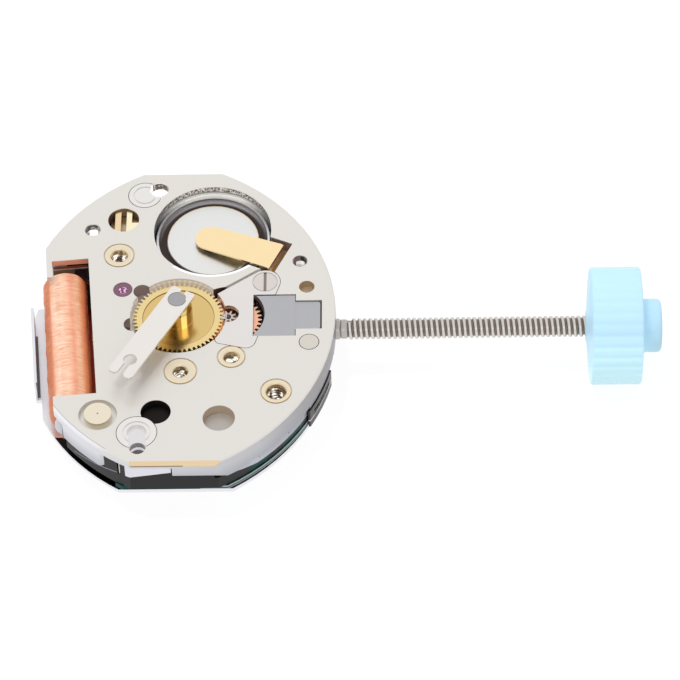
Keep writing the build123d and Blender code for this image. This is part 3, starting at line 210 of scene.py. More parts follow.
class Finish:
    """One procedural surface, read in millimetres of the movement's own frame."""

    def __init__(self, name):
        self.material = bpy.data.materials.new(name)
        self.material.use_nodes = True
        self.tree = self.material.node_tree
        self.tree.nodes.clear()
        self.shader = self.tree.nodes.new("ShaderNodeBsdfPrincipled")
        output = self.tree.nodes.new("ShaderNodeOutputMaterial")
        self.tree.links.new(self.shader.outputs[0], output.inputs["Surface"])
        coordinates = self.tree.nodes.new("ShaderNodeTexCoord")
        scale = self.node(
            "VectorMath", {"operation": "SCALE"}, coordinates.outputs["Object"], Scale=1 / MM
        )
        self.point = scale.socket
        split = self.tree.nodes.new("ShaderNodeSeparateXYZ")
        self.tree.links.new(self.point, split.inputs[0])
        self.x = Level(self, split.outputs[0])
        self.y = Level(self, split.outputs[1])
        self.z = Level(self, split.outputs[2])

    def give(self, socket, item):
        """Links another socket to this one, or sets its constant."""
        if isinstance(item, Level):
            item = item.socket
        if isinstance(item, bpy.types.NodeSocket):
            self.tree.links.new(item, socket)
        else:
            if socket.type == "RGBA" and len(item) == 3:
                item = (*item, 1)
            socket.default_value = item

    def node(self, kind, settings, *values, **named):
        """Makes a node, fills its inputs by place or name, and returns its first output."""
        made = self.tree.nodes.new("ShaderNode" + kind)
        for key, value in settings.items():
            if key == "stops":
                elements = made.color_ramp.elements
                for index, (position, colour) in enumerate(value):
                    stop = elements[index] if index < 2 else elements.new(position)
                    stop.position = position
                    stop.color = (*colour, 1)
            else:
                setattr(made, key, value)
        for place, value in enumerate(values):
            self.give(made.inputs[place], value)
        for key, value in named.items():
            self.give(made.inputs[key.replace("_", " ")], value)
        return Level(self, made.outputs[0])

    def noise(self, scale, detail=3.0, stretch=(1, 1, 1), turn=0.0):
        place = self.node("Mapping", {}, self.point, Scale=stretch, Rotation=(0, 0, turn))
        return self.node("TexNoise", {}, place, Scale=scale, Detail=detail)

    def blend(self, share, low, high):
        """The low colour where the share is zero, the high one where it is one."""
        mixed = self.tree.nodes.new("ShaderNodeMix")
        mixed.data_type = "RGBA"
        self.give(mixed.inputs[MIX_SHARE], share)
        self.give(mixed.inputs[MIX_LOW], low)
        self.give(mixed.inputs[MIX_HIGH], high)
        return Level(self, mixed.outputs[MIX_RESULT])

    def reach(self, x, y):
        """Distance from an upright axis."""
        across = self.x - x
        along = self.y - y
        return (across * across + along * along) ** 0.5

    def inside(self, x, y, radius, top=-0.02, bottom=-9.0):
        """One inside a round hole, below its mouth."""
        return (self.reach(x, y) < radius) * (self.z < top) * (self.z > bottom)

    def ramp(self, share, *stops):
        """A colour that runs through the stops as the share grows."""
        return self.node("ValToRGB", {"stops": stops}, share)

    def paint(self, colour, *layers):
        """Lays colours over the first one, each where its share is one."""
        for share, layer in layers:
            colour = self.blend(share, colour, layer)
        return colour

    def side_wall(self):
        """Cool light on the plated wall, fading to grey at the right and below."""
        pale = self.blend(self.x.share(-4.0, 3.2), (0.88, 0.88, 0.92), (0.62, 0.62, 0.65))
        grey = self.blend(self.x.share(3.4, 5.8), pale, (0.33, 0.31, 0.315))
        return self.blend(self.z.share(-0.4, -1.0) * 0.5, grey, (0.36, 0.38, 0.46))

    def glow(self, colour, strength):
        """Painted light: a little light of its own, standing in for what polished hollows and fine
        wire send back.
        """
        self.surface(Emission_Color=colour, Emission_Strength=strength)

    def bump(self, height, strength, distance):
        self.give(
            self.shader.inputs["Normal"],
            self.node("Bump", {}, Strength=strength, Distance=distance * MM, Height=height),
        )

    def surface(self, **values):
        for key, value in values.items():
            self.give(self.shader.inputs[key.replace("_", " ")], value)

    def dress(self, *names):
        """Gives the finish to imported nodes, each by name."""
        for name in names:
            materials = NODES[name].data.materials
            if len(materials):
                materials[0] = self.material
            else:
                materials.append(self.material)


def metal(name, colour, roughness, grain=(1, 1, 1)):
    """Plain metal with a fine grain and slight wear in its gloss."""
    wear = 0.06
    finish = Finish(name)
    grains = finish.noise(22.0, 4.0, grain)
    cloud = finish.noise(1.3, 2.0)
    finish.surface(
        Base_Color=finish.blend(cloud * 0.22 + grains * 0.1, colour, tint(colour, 0.86)),
        Metallic=1.0,
        Roughness=grains * wear + cloud * wear + (roughness - wear),
    )
    finish.bump(grains, 0.15, 0.01)
    return finish


# Modelling helpers, all on the active object


def clear_selection():
    """Leaves edit mode and selects nothing."""
    if bpy.context.object and bpy.context.object.mode != "OBJECT":
        bpy.ops.object.mode_set(mode="OBJECT")
    bpy.ops.object.select_all(action="DESELECT")


def name_piece(name):
    """Names the active object and its mesh."""
    piece = bpy.context.object
    piece.name = name
    piece.data.name = name
    return piece


def pick_edges(test):
    """Selects the edges of the edited mesh that pass the test."""
    mesh = bmesh.from_edit_mesh(bpy.context.object.data)
    bpy.ops.mesh.select_mode(type="EDGE")
    bpy.ops.mesh.select_all(action="DESELECT")
    for edge in mesh.edges:
        edge.select_set(test(edge))
    bmesh.update_edit_mesh(bpy.context.object.data)


def settle(piece, smooth=40):
    """Applies place and shading, and turns every face outwards."""
    clear_selection()
    piece.select_set(True)
    bpy.context.view_layer.objects.active = piece
    bpy.ops.object.transform_apply(location=True, rotation=True, scale=True)
    bpy.ops.object.mode_set(mode="EDIT")
    bpy.ops.mesh.select_all(action="SELECT")
    bpy.ops.mesh.remove_doubles(threshold=1e-7)
    bpy.ops.mesh.normals_make_consistent(inside=False)
    bpy.ops.object.mode_set(mode="OBJECT")
    bpy.ops.object.shade_smooth_by_angle(angle=radians(smooth))
    return piece


def fit(piece, body, slot, finish, *nodes):
    """Gives a new piece its finish and body, and the nodes that it replaces. The slot is not used.
    """
    piece.data.materials.clear()
    piece.data.materials.append(finish.material)
    if nodes:
        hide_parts(*nodes)
    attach(piece, body)


def apply(kind, **settings):
    """Adds a modifier to the active object and applies it."""
    bpy.ops.object.modifier_add(type=kind)
    modifier = bpy.context.object.modifiers[-1]
    for key, value in settings.items():
        setattr(modifier, key, value)
    bpy.ops.object.modifier_apply(modifier=modifier.name)


def join(*pieces):
    """Makes one object of the pieces, under the first one's name."""
    clear_selection()
    for piece in pieces:
        piece.select_set(True)
    bpy.context.view_layer.objects.active = pieces[0]
    bpy.ops.object.join()
    return bpy.context.object


def lathe(name, vertices, sections):
    """A round body along the stem's axis, from one (place, radius) to the next."""
    clear_selection()
    x0, r0 = sections[0]
    bpy.ops.mesh.primitive_circle_add(
        vertices=vertices, radius=r0 * MM, fill_type="NGON",
        location=(x0 * MM, 0, STEM_Z * MM), rotation=(0, pi / 2, 0),
    )
    piece = name_piece(name)
    bpy.ops.object.transform_apply(location=True, rotation=True, scale=True)
    bpy.ops.object.mode_set(mode="EDIT")
    bpy.ops.mesh.select_mode(type="FACE")
    bpy.ops.mesh.select_all(action="SELECT")
    for (x0, r0), (x1, r1) in zip(sections, sections[1:]):
        bpy.ops.mesh.extrude_region_move(
            TRANSFORM_OT_translate={"value": ((x1 - x0) * MM, 0, 0)}
        )
        bpy.ops.transform.resize(
            value=(1, r1 / r0, r1 / r0), center_override=(x1 * MM, 0, STEM_Z * MM)
        )
    bpy.ops.object.mode_set(mode="OBJECT")
    return piece


def thread_ridge(start, centre, root, crest, pitch, turns, steps, upright=False):
    """A closed V-shaped ridge that winds round X, or round Z if upright."""
    clear_selection()
    bpy.ops.mesh.primitive_circle_add(vertices=6, radius=1, fill_type="NOTHING", location=(0, 0, 0))
    half = pitch * 0.47
    flat = pitch * 0.16
    shoulder = crest - (crest - root) * 0.18
    corners = (
        (-half, root), (half, root), (flat * 1.6, shoulder),
        (flat, crest), (-flat, crest), (-flat * 1.6, shoulder),
    )
    bpy.ops.object.mode_set(mode="EDIT")
    mesh = bmesh.from_edit_mesh(bpy.context.object.data)
    mesh.verts.ensure_lookup_table()
    for vertex, (along, out) in zip(mesh.verts, corners):
        vertex.co = (out, 0, along) if upright else (along, 0, out)
    bmesh.update_edit_mesh(bpy.context.object.data)
    bpy.ops.object.mode_set(mode="OBJECT")
    apply(
        "SCREW", axis="Z" if upright else "X", angle=2 * pi, screw_offset=pitch, iterations=turns,
        steps=steps, render_steps=steps, use_merge_vertices=False,
    )
    bpy.ops.object.mode_set(mode="EDIT")
    bpy.ops.mesh.select_mode(type="EDGE")
    bpy.ops.mesh.select_all(action="DESELECT")
    bpy.ops.mesh.select_non_manifold()
    bpy.ops.mesh.fill_holes(sides=0)
    bpy.ops.mesh.select_all(action="SELECT")
    bpy.ops.mesh.normals_make_consistent(inside=False)
    bpy.ops.object.mode_set(mode="OBJECT")
    piece = bpy.context.object
    piece.location = centre
    if upright:
        piece.location.z += start
    else:
        piece.location.x += start
    bpy.ops.object.transform_apply(location=True, rotation=True, scale=True)
    return piece


class MOVEMENT_OT_stem(bpy.types.Operator):
    """Winding stem: square inner end, groove, collar and a cut thread out to the crown"""
    bl_idname = "movement.stem"
    bl_label = "Stem"

    def execute(self, context):
        settings = context.scene.winder
        crest = settings.thread_radius
        root = crest - settings.thread_depth
        first_turn = 6.99
        sections = (
            (4.75, 0.40), (4.95, 0.40), (4.95, 0.28), (5.45, 0.28), (5.45, 0.445), (5.48, 0.475),
            (6.30, 0.475), (6.34, 0.43), (6.58, 0.43), (6.61, 0.40), (6.64, 0.37), (6.67, 0.40),
            (6.86, 0.40), (6.92, 0.37), (6.94, root / MM), (17.6, root / MM),
        )
        body = lathe("stem_body", 40, sections)
        clear_selection()
        bpy.ops.mesh.primitive_cube_add(size=1, location=(4.06 * MM, 0, STEM_Z * MM))
        square = name_piece("stem_square")
        square.scale = (1.42 * MM, 0.42 * MM, 0.42 * MM)
        bpy.ops.object.transform_apply(location=True, rotation=True, scale=True)
        apply("BEVEL", width=0.04 * MM, segments=2)
        turns = int((THREAD_END - THREAD_START) * MM / settings.thread_pitch)
        ridge = thread_ridge(
            first_turn * MM, Vector((0, 0, STEM_Z * MM)), root - 0.01 * MM, crest,
            settings.thread_pitch, turns, 24,
        )
        stem = settle(join(body, square, ridge), 35)
        stem.name = "stem_threaded"
        finish = Finish("stem_steel")
        streaks = finish.noise(9.0, 3.0, (0.2, 3, 3))
        below = finish.z - STEM_Z
        across = (finish.y * finish.y + below * below) ** 0.5
        # Painted shade: the thread's valleys are darkened.
        valley_shade = ((0.44 - across) * 9.0).at_least(0.0).at_most(1.0) * (finish.x > 6.92)
        steel = settings.thread_steel
        finish.surface(
            Base_Color=finish.paint(
                tint(steel, 1.2), (finish.x < 6.93, tint(steel, 0.82)),
                (valley_shade * 0.9, tint(steel, 0.30, 0.22, 0.19)),
            ),
            Metallic=1.0,
            Roughness=streaks * 0.12 + 0.2,
        )
        finish.bump(streaks, 0.2, 0.01)
        fit(stem, "stem", "grey_steel", finish, "stem")
        return {"FINISHED"}


class MOVEMENT_OT_crown(bpy.types.Operator):
    """Setting crown of pale blue plastic: shallow ribs, a coned inner face and a hub"""
    bl_idname = "movement.crown"
    bl_label = "Crown"

    def execute(self, context):
        settings = context.scene.winder
        ribs = settings.crown_ribs
        depth = settings.crown_rib_depth / MM
        points_per_rib = 8
        radius = 2.42
        ribbed_from = 2.34
        crown = lathe("setting_crown", ribs * points_per_rib, (
            (16.70, 0.60), (16.74, 0.70), (16.87, 2.28), (16.89, 2.36), (16.92, 2.40),
            (16.97, radius), (18.87, radius), (18.92, 2.40), (18.95, 2.35), (18.95, 1.10),
            (19.62, 1.10), (19.70, 1.075), (19.76, 1.02), (19.79, 0.95), (19.80, 0.86),
            (19.80, 0.4),
        ))
        bpy.ops.object.mode_set(mode="EDIT")
        mesh = bmesh.from_edit_mesh(crown.data)
        centre = Vector((0, 0, STEM_Z * MM))
        for vertex in mesh.verts:
            arm = Vector((0, vertex.co.y, vertex.co.z - centre.z))
            if arm.length / MM < ribbed_from:
                continue
            turn = arm.angle(Vector((0, 1, 0))) * (1 if arm.z >= 0 else -1)
            wave = (0.5 - 0.5 * cos(turn * ribs)) ** 3
            vertex.co -= arm.normalized() * (depth * wave * MM)
        bmesh.update_edit_mesh(crown.data)
        bpy.ops.object.mode_set(mode="OBJECT")
        crown = settle(crown, 50)
        finish = Finish("crown_plastic")
        cloud = finish.noise(1.1, 2.0)
        fine = finish.noise(14.0, 3.0)
        blue = settings.crown_blue
        # Painted light: the lower front of the crown, turned away from the lamp, is painted paler
        # and glows more
        low = (finish.y * 0.77 + (finish.z - STEM_Z) * 0.64).share(-0.3, -2.0)
        finish.surface(
            Base_Color=finish.paint(
                tint(blue, 0.72), (cloud * 0.35, tint(blue, 0.65, 0.69, 0.71)),
                (low, (0.62, 0.94, 1.0)),
            ),
            Roughness=fine * 0.12 + 0.36,
            # Painted light: the crown glows pale blue, more on its lower front and less on the hub
            Emission_Color=finish.paint(
                blue, (low, (0.68, 1.0, 1.15)),
                ((finish.x > 18.96) * 0.4, tint(blue, 0.45)),
            ),
            Emission_Strength=0.39,
            Subsurface_Weight=0.2,
            Subsurface_Radius=(0.3, 0.6, 1.0),
            Subsurface_Scale=0.0008,
        )
        finish.bump(fine, 0.12, 0.01)
        fit(crown, "stem", "crown_plastic", finish, "crown")
        return {"FINISHED"}


class MOVEMENT_OT_coil(bpy.types.Operator):
    """Drive coil: many layers of fine enamelled wire, a little uneven from turn to turn"""
    bl_idname = "movement.coil"
    bl_label = "Coil"
    bare_radius = 0.70
    wire_height = 0.20

    def lump(self, turn, along, swell):
        """Radius of the winding: a flattened round, uneven from turn to turn."""
        square = (abs(cos(turn)) ** 3.4 + abs(sin(turn)) ** 3.4) ** (-1 / 3.4)
        wander = 0.010 * sin(along * 4.3 + 2 * turn) + 0.007 * sin(along * 9.1 - 3 * turn + 1)
        ripple = 0.006 * sin(along * 23.0 + 4 * turn) + 0.004 * sin(turn * 9 + along * 1.7)
        wound = self.bare_radius + (self.wire_height * swell) * square
        return wound - 0.08 * (square - 1) + (wander + ripple) * swell

    def execute(self, context):
        clear_selection()
        rings, around = 150, 96
        low, high = -3.25, 4.05
        bpy.ops.mesh.primitive_circle_add(
            vertices=around, radius=self.bare_radius * MM, fill_type="NGON",
            location=(0, low * MM, 0), rotation=(pi / 2, 0, 0),
        )
        coil = name_piece("coil_wires")
        bpy.ops.object.transform_apply(location=True, rotation=True, scale=True)
        bpy.ops.object.mode_set(mode="EDIT")
        bpy.ops.mesh.select_mode(type="FACE")
        bpy.ops.mesh.select_all(action="SELECT")
        for ring in range(rings):
            bpy.ops.mesh.extrude_region_move(
                TRANSFORM_OT_translate={"value": (0, (high - low) / rings * MM, 0)}
            )
        mesh = bmesh.from_edit_mesh(coil.data)
        for vertex in mesh.verts:
            along = vertex.co.y / MM
            edge = min(1.0, (along - low) / 0.5, (high - along) / 0.16)
            swell = sin(pi / 2 * max(0.0, edge)) ** 0.8
            turn = atan2(vertex.co.z, vertex.co.x)
            radius = self.lump(turn, along, swell) * MM
            vertex.co.x = radius * cos(turn)
            vertex.co.z = radius * sin(turn)
        bmesh.update_edit_mesh(coil.data)
        bpy.ops.object.mode_set(mode="OBJECT")
        coil.rotation_euler = (0, 0, COIL_TILT)
        coil.location = (COIL_X * MM, COIL_Y * MM, COIL_Z * MM)
        coil = settle(coil, 60)
        finish = Finish("coil_copper")
        turned = finish.node(
            "Mapping", {"vector_type": "TEXTURE"}, finish.point,
            Location=(COIL_X, COIL_Y, COIL_Z), Rotation=(0, 0, COIL_TILT),
        )
        wander = finish.node("TexNoise", {}, turned, Scale=1.1, Detail=3.0)
        wires = finish.node("Mapping", {}, turned, Scale=(1.5, 17.0, 1.5))
        strands = finish.node("TexNoise", {}, wires, Scale=1.6, Detail=6.0)
        clumps = finish.node("Mapping", {}, turned, Scale=(0.9, 6.0, 0.9), Rotation=(0, 0, 0.06))
        layers = finish.node("TexNoise", {}, clumps, Scale=1.4, Detail=2.0)
        lengthwise = finish.node("Mapping", {}, turned, Scale=(7.0, 0.35, 7.0))
        bands = finish.node("TexNoise", {}, lengthwise, Scale=0.8, Detail=3.0)
        copper = context.scene.metals.wire_copper
        tone = strands * 1.7 + layers * 1.1 + bands * 0.5 + wander * 0.5 - 1.4
        tone = tone.at_least(0.0).at_most(1.0)
        # Place across the winding, 0 at its left side and 1 at its right
        split = finish.node("SeparateXYZ", {}, turned)
        across = split.share(-0.90, 0.90) + (bands - 0.5) * 0.10
        # Painted light and shade across the winding: dark near the left edge, painted highlights
        # over the middle, and darkening to a dark right edge
        light_and_shade_bands = (
            (0.0, (0.78, 0.46, 0.38)), (0.075, (0.56, 0.29, 0.20)), (0.13, (0.66, 0.36, 0.27)),
            (0.19, (1.03, 1.12, 1.24)), (0.26, (1.05, 1.42, 1.74)), (0.52, (1.04, 1.24, 1.42)),
            (0.645, (0.94, 0.82, 0.85)), (0.70, (1.0, 0.94, 1.0)), (0.735, (1.05, 1.14, 1.22)),
            (0.80, (1.05, 1.16, 1.14)), (0.86, (1.05, 0.86, 0.66)), (0.93, (0.98, 0.50, 0.32)),
            (1.0, (0.34, 0.09, 0.05)),
        )
        wound = finish.ramp(
            across,
            *((place, [min(1.0, c) for c in tint(copper, *shares)]) for place, shares in light_and_shade_bands),
        )
        finish.surface(
            Base_Color=finish.blend(
                tone.share(0.80, 0.15) * 0.9, wound, tint(copper, 0.78, 0.54, 0.40)
            ),
            Metallic=0.35,
            Roughness=strands * 0.16 + wander * 0.1 + 0.3,
        )
        # Painted light: the winding glows in the colours of these bands
        finish.glow(wound, 0.22)
        finish.bump(strands + layers * 0.5 + bands * 0.3, 1.0, 0.07)
        fit(coil, "movement", "copper_wire", finish, "coil_winding")
        return {"FINISHED"}


class MOVEMENT_OT_tape(bpy.types.Operator):
    """Insulating tape that closes the bay beside the coil's upper end"""
    bl_idname = "movement.tape"
    bl_label = "Coil tape"

    def execute(self, context):
        clear_selection()
        bpy.ops.mesh.primitive_cube_add(
            size=1, location=(-3.86 * MM, 3.03 * MM, -2.235 * MM), rotation=(0, 0, COIL_TILT)
        )
        tape = name_piece("coil_tape")
        tape.scale = (0.52 * MM, 1.42 * MM, 0.02 * MM)
        bpy.ops.object.transform_apply(location=True, rotation=True, scale=True)
        bpy.ops.object.mode_set(mode="EDIT")
        pick_edges(lambda edge: abs(edge.verts[0].co.z - edge.verts[1].co.z) > 0.01 * MM)
        bpy.ops.mesh.bevel(offset=0.08 * MM, segments=4)
        bpy.ops.object.mode_set(mode="OBJECT")
        apply("BEVEL", width=0.005 * MM, segments=1)
        finish = Finish("tape_film")
        grain = finish.noise(14.0, 3.0)
        # Painted shade: the sheet is coloured near black for the shade in the bay beside the coil
        finish.surface(
            Base_Color=finish.blend(grain, (0.05, 0.03, 0.035), (0.03, 0.02, 0.025)),
            Roughness=grain * 0.2 + 0.4,
        )
        finish.bump(grain, 0.2, 0.01)
        fit(settle(tape), "movement", "amber_film", finish)
        return {"FINISHED"}


class MOVEMENT_OT_bore_threads(bpy.types.Operator):
    """Fine threads cut in the bores of the four brass pillars"""
    bl_idname = "movement.bore_threads"
    bl_label = "Bore threads"

    def execute(self, context):
        start, pitch = -1.15, 0.15
        brass = context.scene.metals.brass
        finish = metal("bore_brass", brass, 0.25)
        glint = finish.noise(4.5, 1.0)
        # Painted light and shade in the bores: random dark shade and white glints on the brass, and
        # the glints glow
        finish.surface(Base_Color=finish.ramp(
            glint, (0.42, (0.16, 0.11, 0.07)), (0.50, tint(brass, 0.7)), (0.56, (1, 0.98, 0.95))
        ))
        finish.glow(finish.blend(glint > 0.56, BLACK, (0.45, 0.44, 0.42)), 1.0)
        for name, (x, y, radius) in PILLARS.items():
            ridge = thread_ridge(
                start * MM, Vector((x * MM, y * MM, 0)), (radius + 0.02) * MM,
                (radius - 0.055) * MM, pitch * MM, 6, 32, upright=True,
            )
            ridge.name = "bore_thread_" + name
            fit(settle(ridge, 30), "movement", "raw_brass", finish)
        return {"FINISHED"}


class MOVEMENT_OT_plate(bpy.types.Operator):
    """Nickel-plated plate with bare brass where a hole or a bevel was cut after plating, and
    painted light and shade in its holes, recesses and well
    """
    bl_idname = "movement.plate"
    bl_label = "Plate"

    def execute(self, context):
        metals = context.scene.metals
        finish = Finish("plated_plate")
        x, y, z = finish.x, finish.y, finish.z
        satin = finish.noise(16.0, 4.0, (1, 6, 1), radians(12))
        cloud = finish.noise(0.5, 2.0)
        speck = finish.noise(30.0, 2.0)
        glint = finish.noise(6.0, 2.0)
        from_right = finish.reach(ARC_X, 0)
        rim = finish.reach(-ARC_X, 0).at_least(from_right)
        corner = (x < -2.7) * (y < -4.6)
        fade = x.share(-2.55, -3.1) * (y < -4.6) * (from_right > 8.60)
        # Outside both side arcs, or beyond the flat ends
        wall = ((rim > 8.71).at_least(y * y > 60.1) * (z < -0.045)).at_least(fade)
        line = corner * from_right.within(8.575, 8.605)
        bevel = x.within(-1.73, 1.88) * (y < -7.63) * (z > -0.17)
        foot = finish.inside(-0.99, 6.93, 0.405)
        pits = finish.inside(-3.70, 4.68, 0.35).at_least(finish.inside(4.97, 2.82, 0.33))
        shade = (foot * z.within(-0.45, -0.10)).at_least(pits * z.within(-0.36, -0.06))
        # Painted glints: random spots where the painted shade in the holes is halved
        shade = shade * (1 - (glint > 0.56) * 0.5)
        beam = x.within(-3.87, -3.53).at_least(x.within(4.80, 5.14))
        lit = (foot * (z < -0.45)).at_least(pits * beam * (z < -0.34))
        # Painted light: a band that glows on the wall of the hole under the lower clamp
        slit = finish.inside(-1.43, -6.93, 0.36) * z.within(-0.58, -0.05)
        brass = finish.inside(5.26, 1.41, 0.34)
        eccentric = finish.inside(-2.43, 5.22, 0.67)
        tan_hole, tan_depth = (1.78, -5.48, 0.67), -0.44
        tan = finish.inside(*tan_hole, bottom=tan_depth)
        tan_floor = finish.inside(*tan_hole, top=tan_depth)
        # Painted shade: the wall of the dark hole is coloured near black
        black = finish.inside(*DARK_HOLE)
        hour = finish.reach(0, -0.08)
        # Painted shade and light in the hour wheel's recess: darker towards the right and at the
        # bottom, paler with a glow on its far side and far wall, and a dark line along its edge
        recess = (hour < 1.98) * (z < -0.02)
        recess_edge = hour.within(1.965, 2.02) * (z > -0.03) * (y > 0.6)
        far_wall = recess * (hour > 1.95) * (y > -0.3)
        # Painted shade: the minute recess, the lobes and the window are darkened, and the lobes
        # glow a little
        minute = finish.inside(MINUTE_X, 0, 1.48) * (1 - recess)
        lobes = finish.inside(-1.52, 1.26, 0.38).at_least(finish.inside(-1.86, -0.5, 0.38))
        lobes = lobes * (1 - recess)
        window = x.within(3.0, 6.0) * y.within(-2.1, 1.4) * (z < -0.19)
        cell = finish.reach(CELL_X, CELL_Y)
        pocket = finish.inside(4.3, 3.55, 0.80) * (cell > 2.47)
        # Painted reflection: the slot wall beside the coil is coppery and glows
        slot_wall = x.within(-5.8, -3.5) * y.within(2.9, 3.2) * (z < -0.04)
        well = (cell < 2.47) * (z < -0.02)
        angle = finish.node("Math", {"operation": "ARCTAN2"}, y - CELL_Y, x - CELL_X)
        around = finish.node("CombineXYZ", {}, angle * 30.0, z * 7.0, 0.0)
        chatter = finish.node("TexNoise", {}, around, Scale=1.0, Detail=2.0)
        # Painted light and shade on the well's wall: turning marks as white glints on brown, paler
        # bands lower down, the near side darkened, and a glow on the far side
        upper = (y - CELL_Y).share(0.6, 2.2)
        turning_marks_and_glints = finish.blend(chatter.share(0.40, 0.60), (0.14, 0.12, 0.10), (1.0, 0.97, 0.93))
        lining = finish.paint(
            (0.36, 0.34, 0.31), (z > -0.26, turning_marks_and_glints), (z.within(-0.46, -0.34), (0.70, 0.66, 0.60)),
            (z < -0.46, (1.0, 1.0, 1.0)),
        )
        lining = finish.blend(upper, (0.10, 0.095, 0.095), lining)
        # Painted highlight: a bright crescent with a glow on the well's rim
        crescent = cell.within(2.44, 2.56) * (y < 2.62) * (x < 3.0) * (z > -0.1)
        nickel = finish.blend(
            cloud * 0.2 + satin * 0.12, metals.nickel, tint(metals.nickel, 0.93)
        )
        colour = finish.paint(
            nickel,
            (wall, finish.side_wall()), (line * 0.6, (0.30, 0.30, 0.33)),
            (bevel, (0.80, 0.62, 0.39)), (bevel * (z < -0.135) * (x < 0.4), (0.28, 0.20, 0.13)),
            (shade, (0.09, 0.075, 0.065)), (brass, (0.48, 0.38, 0.26)),
            (eccentric, (0.37, 0.27, 0.18)), (tan, (0.68, 0.55, 0.42)),
            (tan_floor, (0.50, 0.47, 0.44)), (black, (0.03, 0.028, 0.028)),
            (recess, finish.blend(x.share(-1.9, -0.6), (0.60, 0.57, 0.55), (0.22, 0.16, 0.13))),
            (recess * (y < -0.9), (0.24, 0.14, 0.07)), (recess * (y > 0.9), (0.62, 0.54, 0.46)),
            (far_wall, (0.80, 0.74, 0.68)), (recess_edge * 0.5, (0.30, 0.26, 0.22)),
            (minute, (0.12, 0.07, 0.055)), (lobes, (0.44, 0.36, 0.345)),
            (window, (0.12, 0.07, 0.065)),
            (pocket, (0.45, 0.34, 0.32)), (slot_wall, (0.55, 0.26, 0.19)), (well, lining),
            (crescent * 0.85, (0.98, 0.97, 0.96)),
        )
        finish.surface(
            Base_Color=colour,
            Metallic=0.6,
            Roughness=satin * 0.08 + speck * 0.04 + 0.32,
        )
        # Painted light: glow in the lit holes, the hole under the clamp, the lobes, the recess's
        # far side and far wall, the slot wall, the crescent, the brass hole and the well's far side
        finish.glow(
            finish.paint(
                BLACK, (lit, (0.6, 0.6, 0.62)), (slit, (0.44, 0.44, 0.48)),
                (lobes, (0.03, 0.022, 0.02)), (recess * (y > 0.9), (0.08, 0.07, 0.06)),
                (far_wall, (0.22, 0.20, 0.17)), (slot_wall, (0.18, 0.08, 0.05)),
                (crescent, (0.12, 0.12, 0.12)), (brass, (0.05, 0.035, 0.02)),
                (well * upper, finish.blend(0.25, BLACK, lining)),
            ), 1.0,
        )
        finish.bump(satin, 0.08, 0.01)
        finish.dress("main_plate")
        return {"FINISHED"}


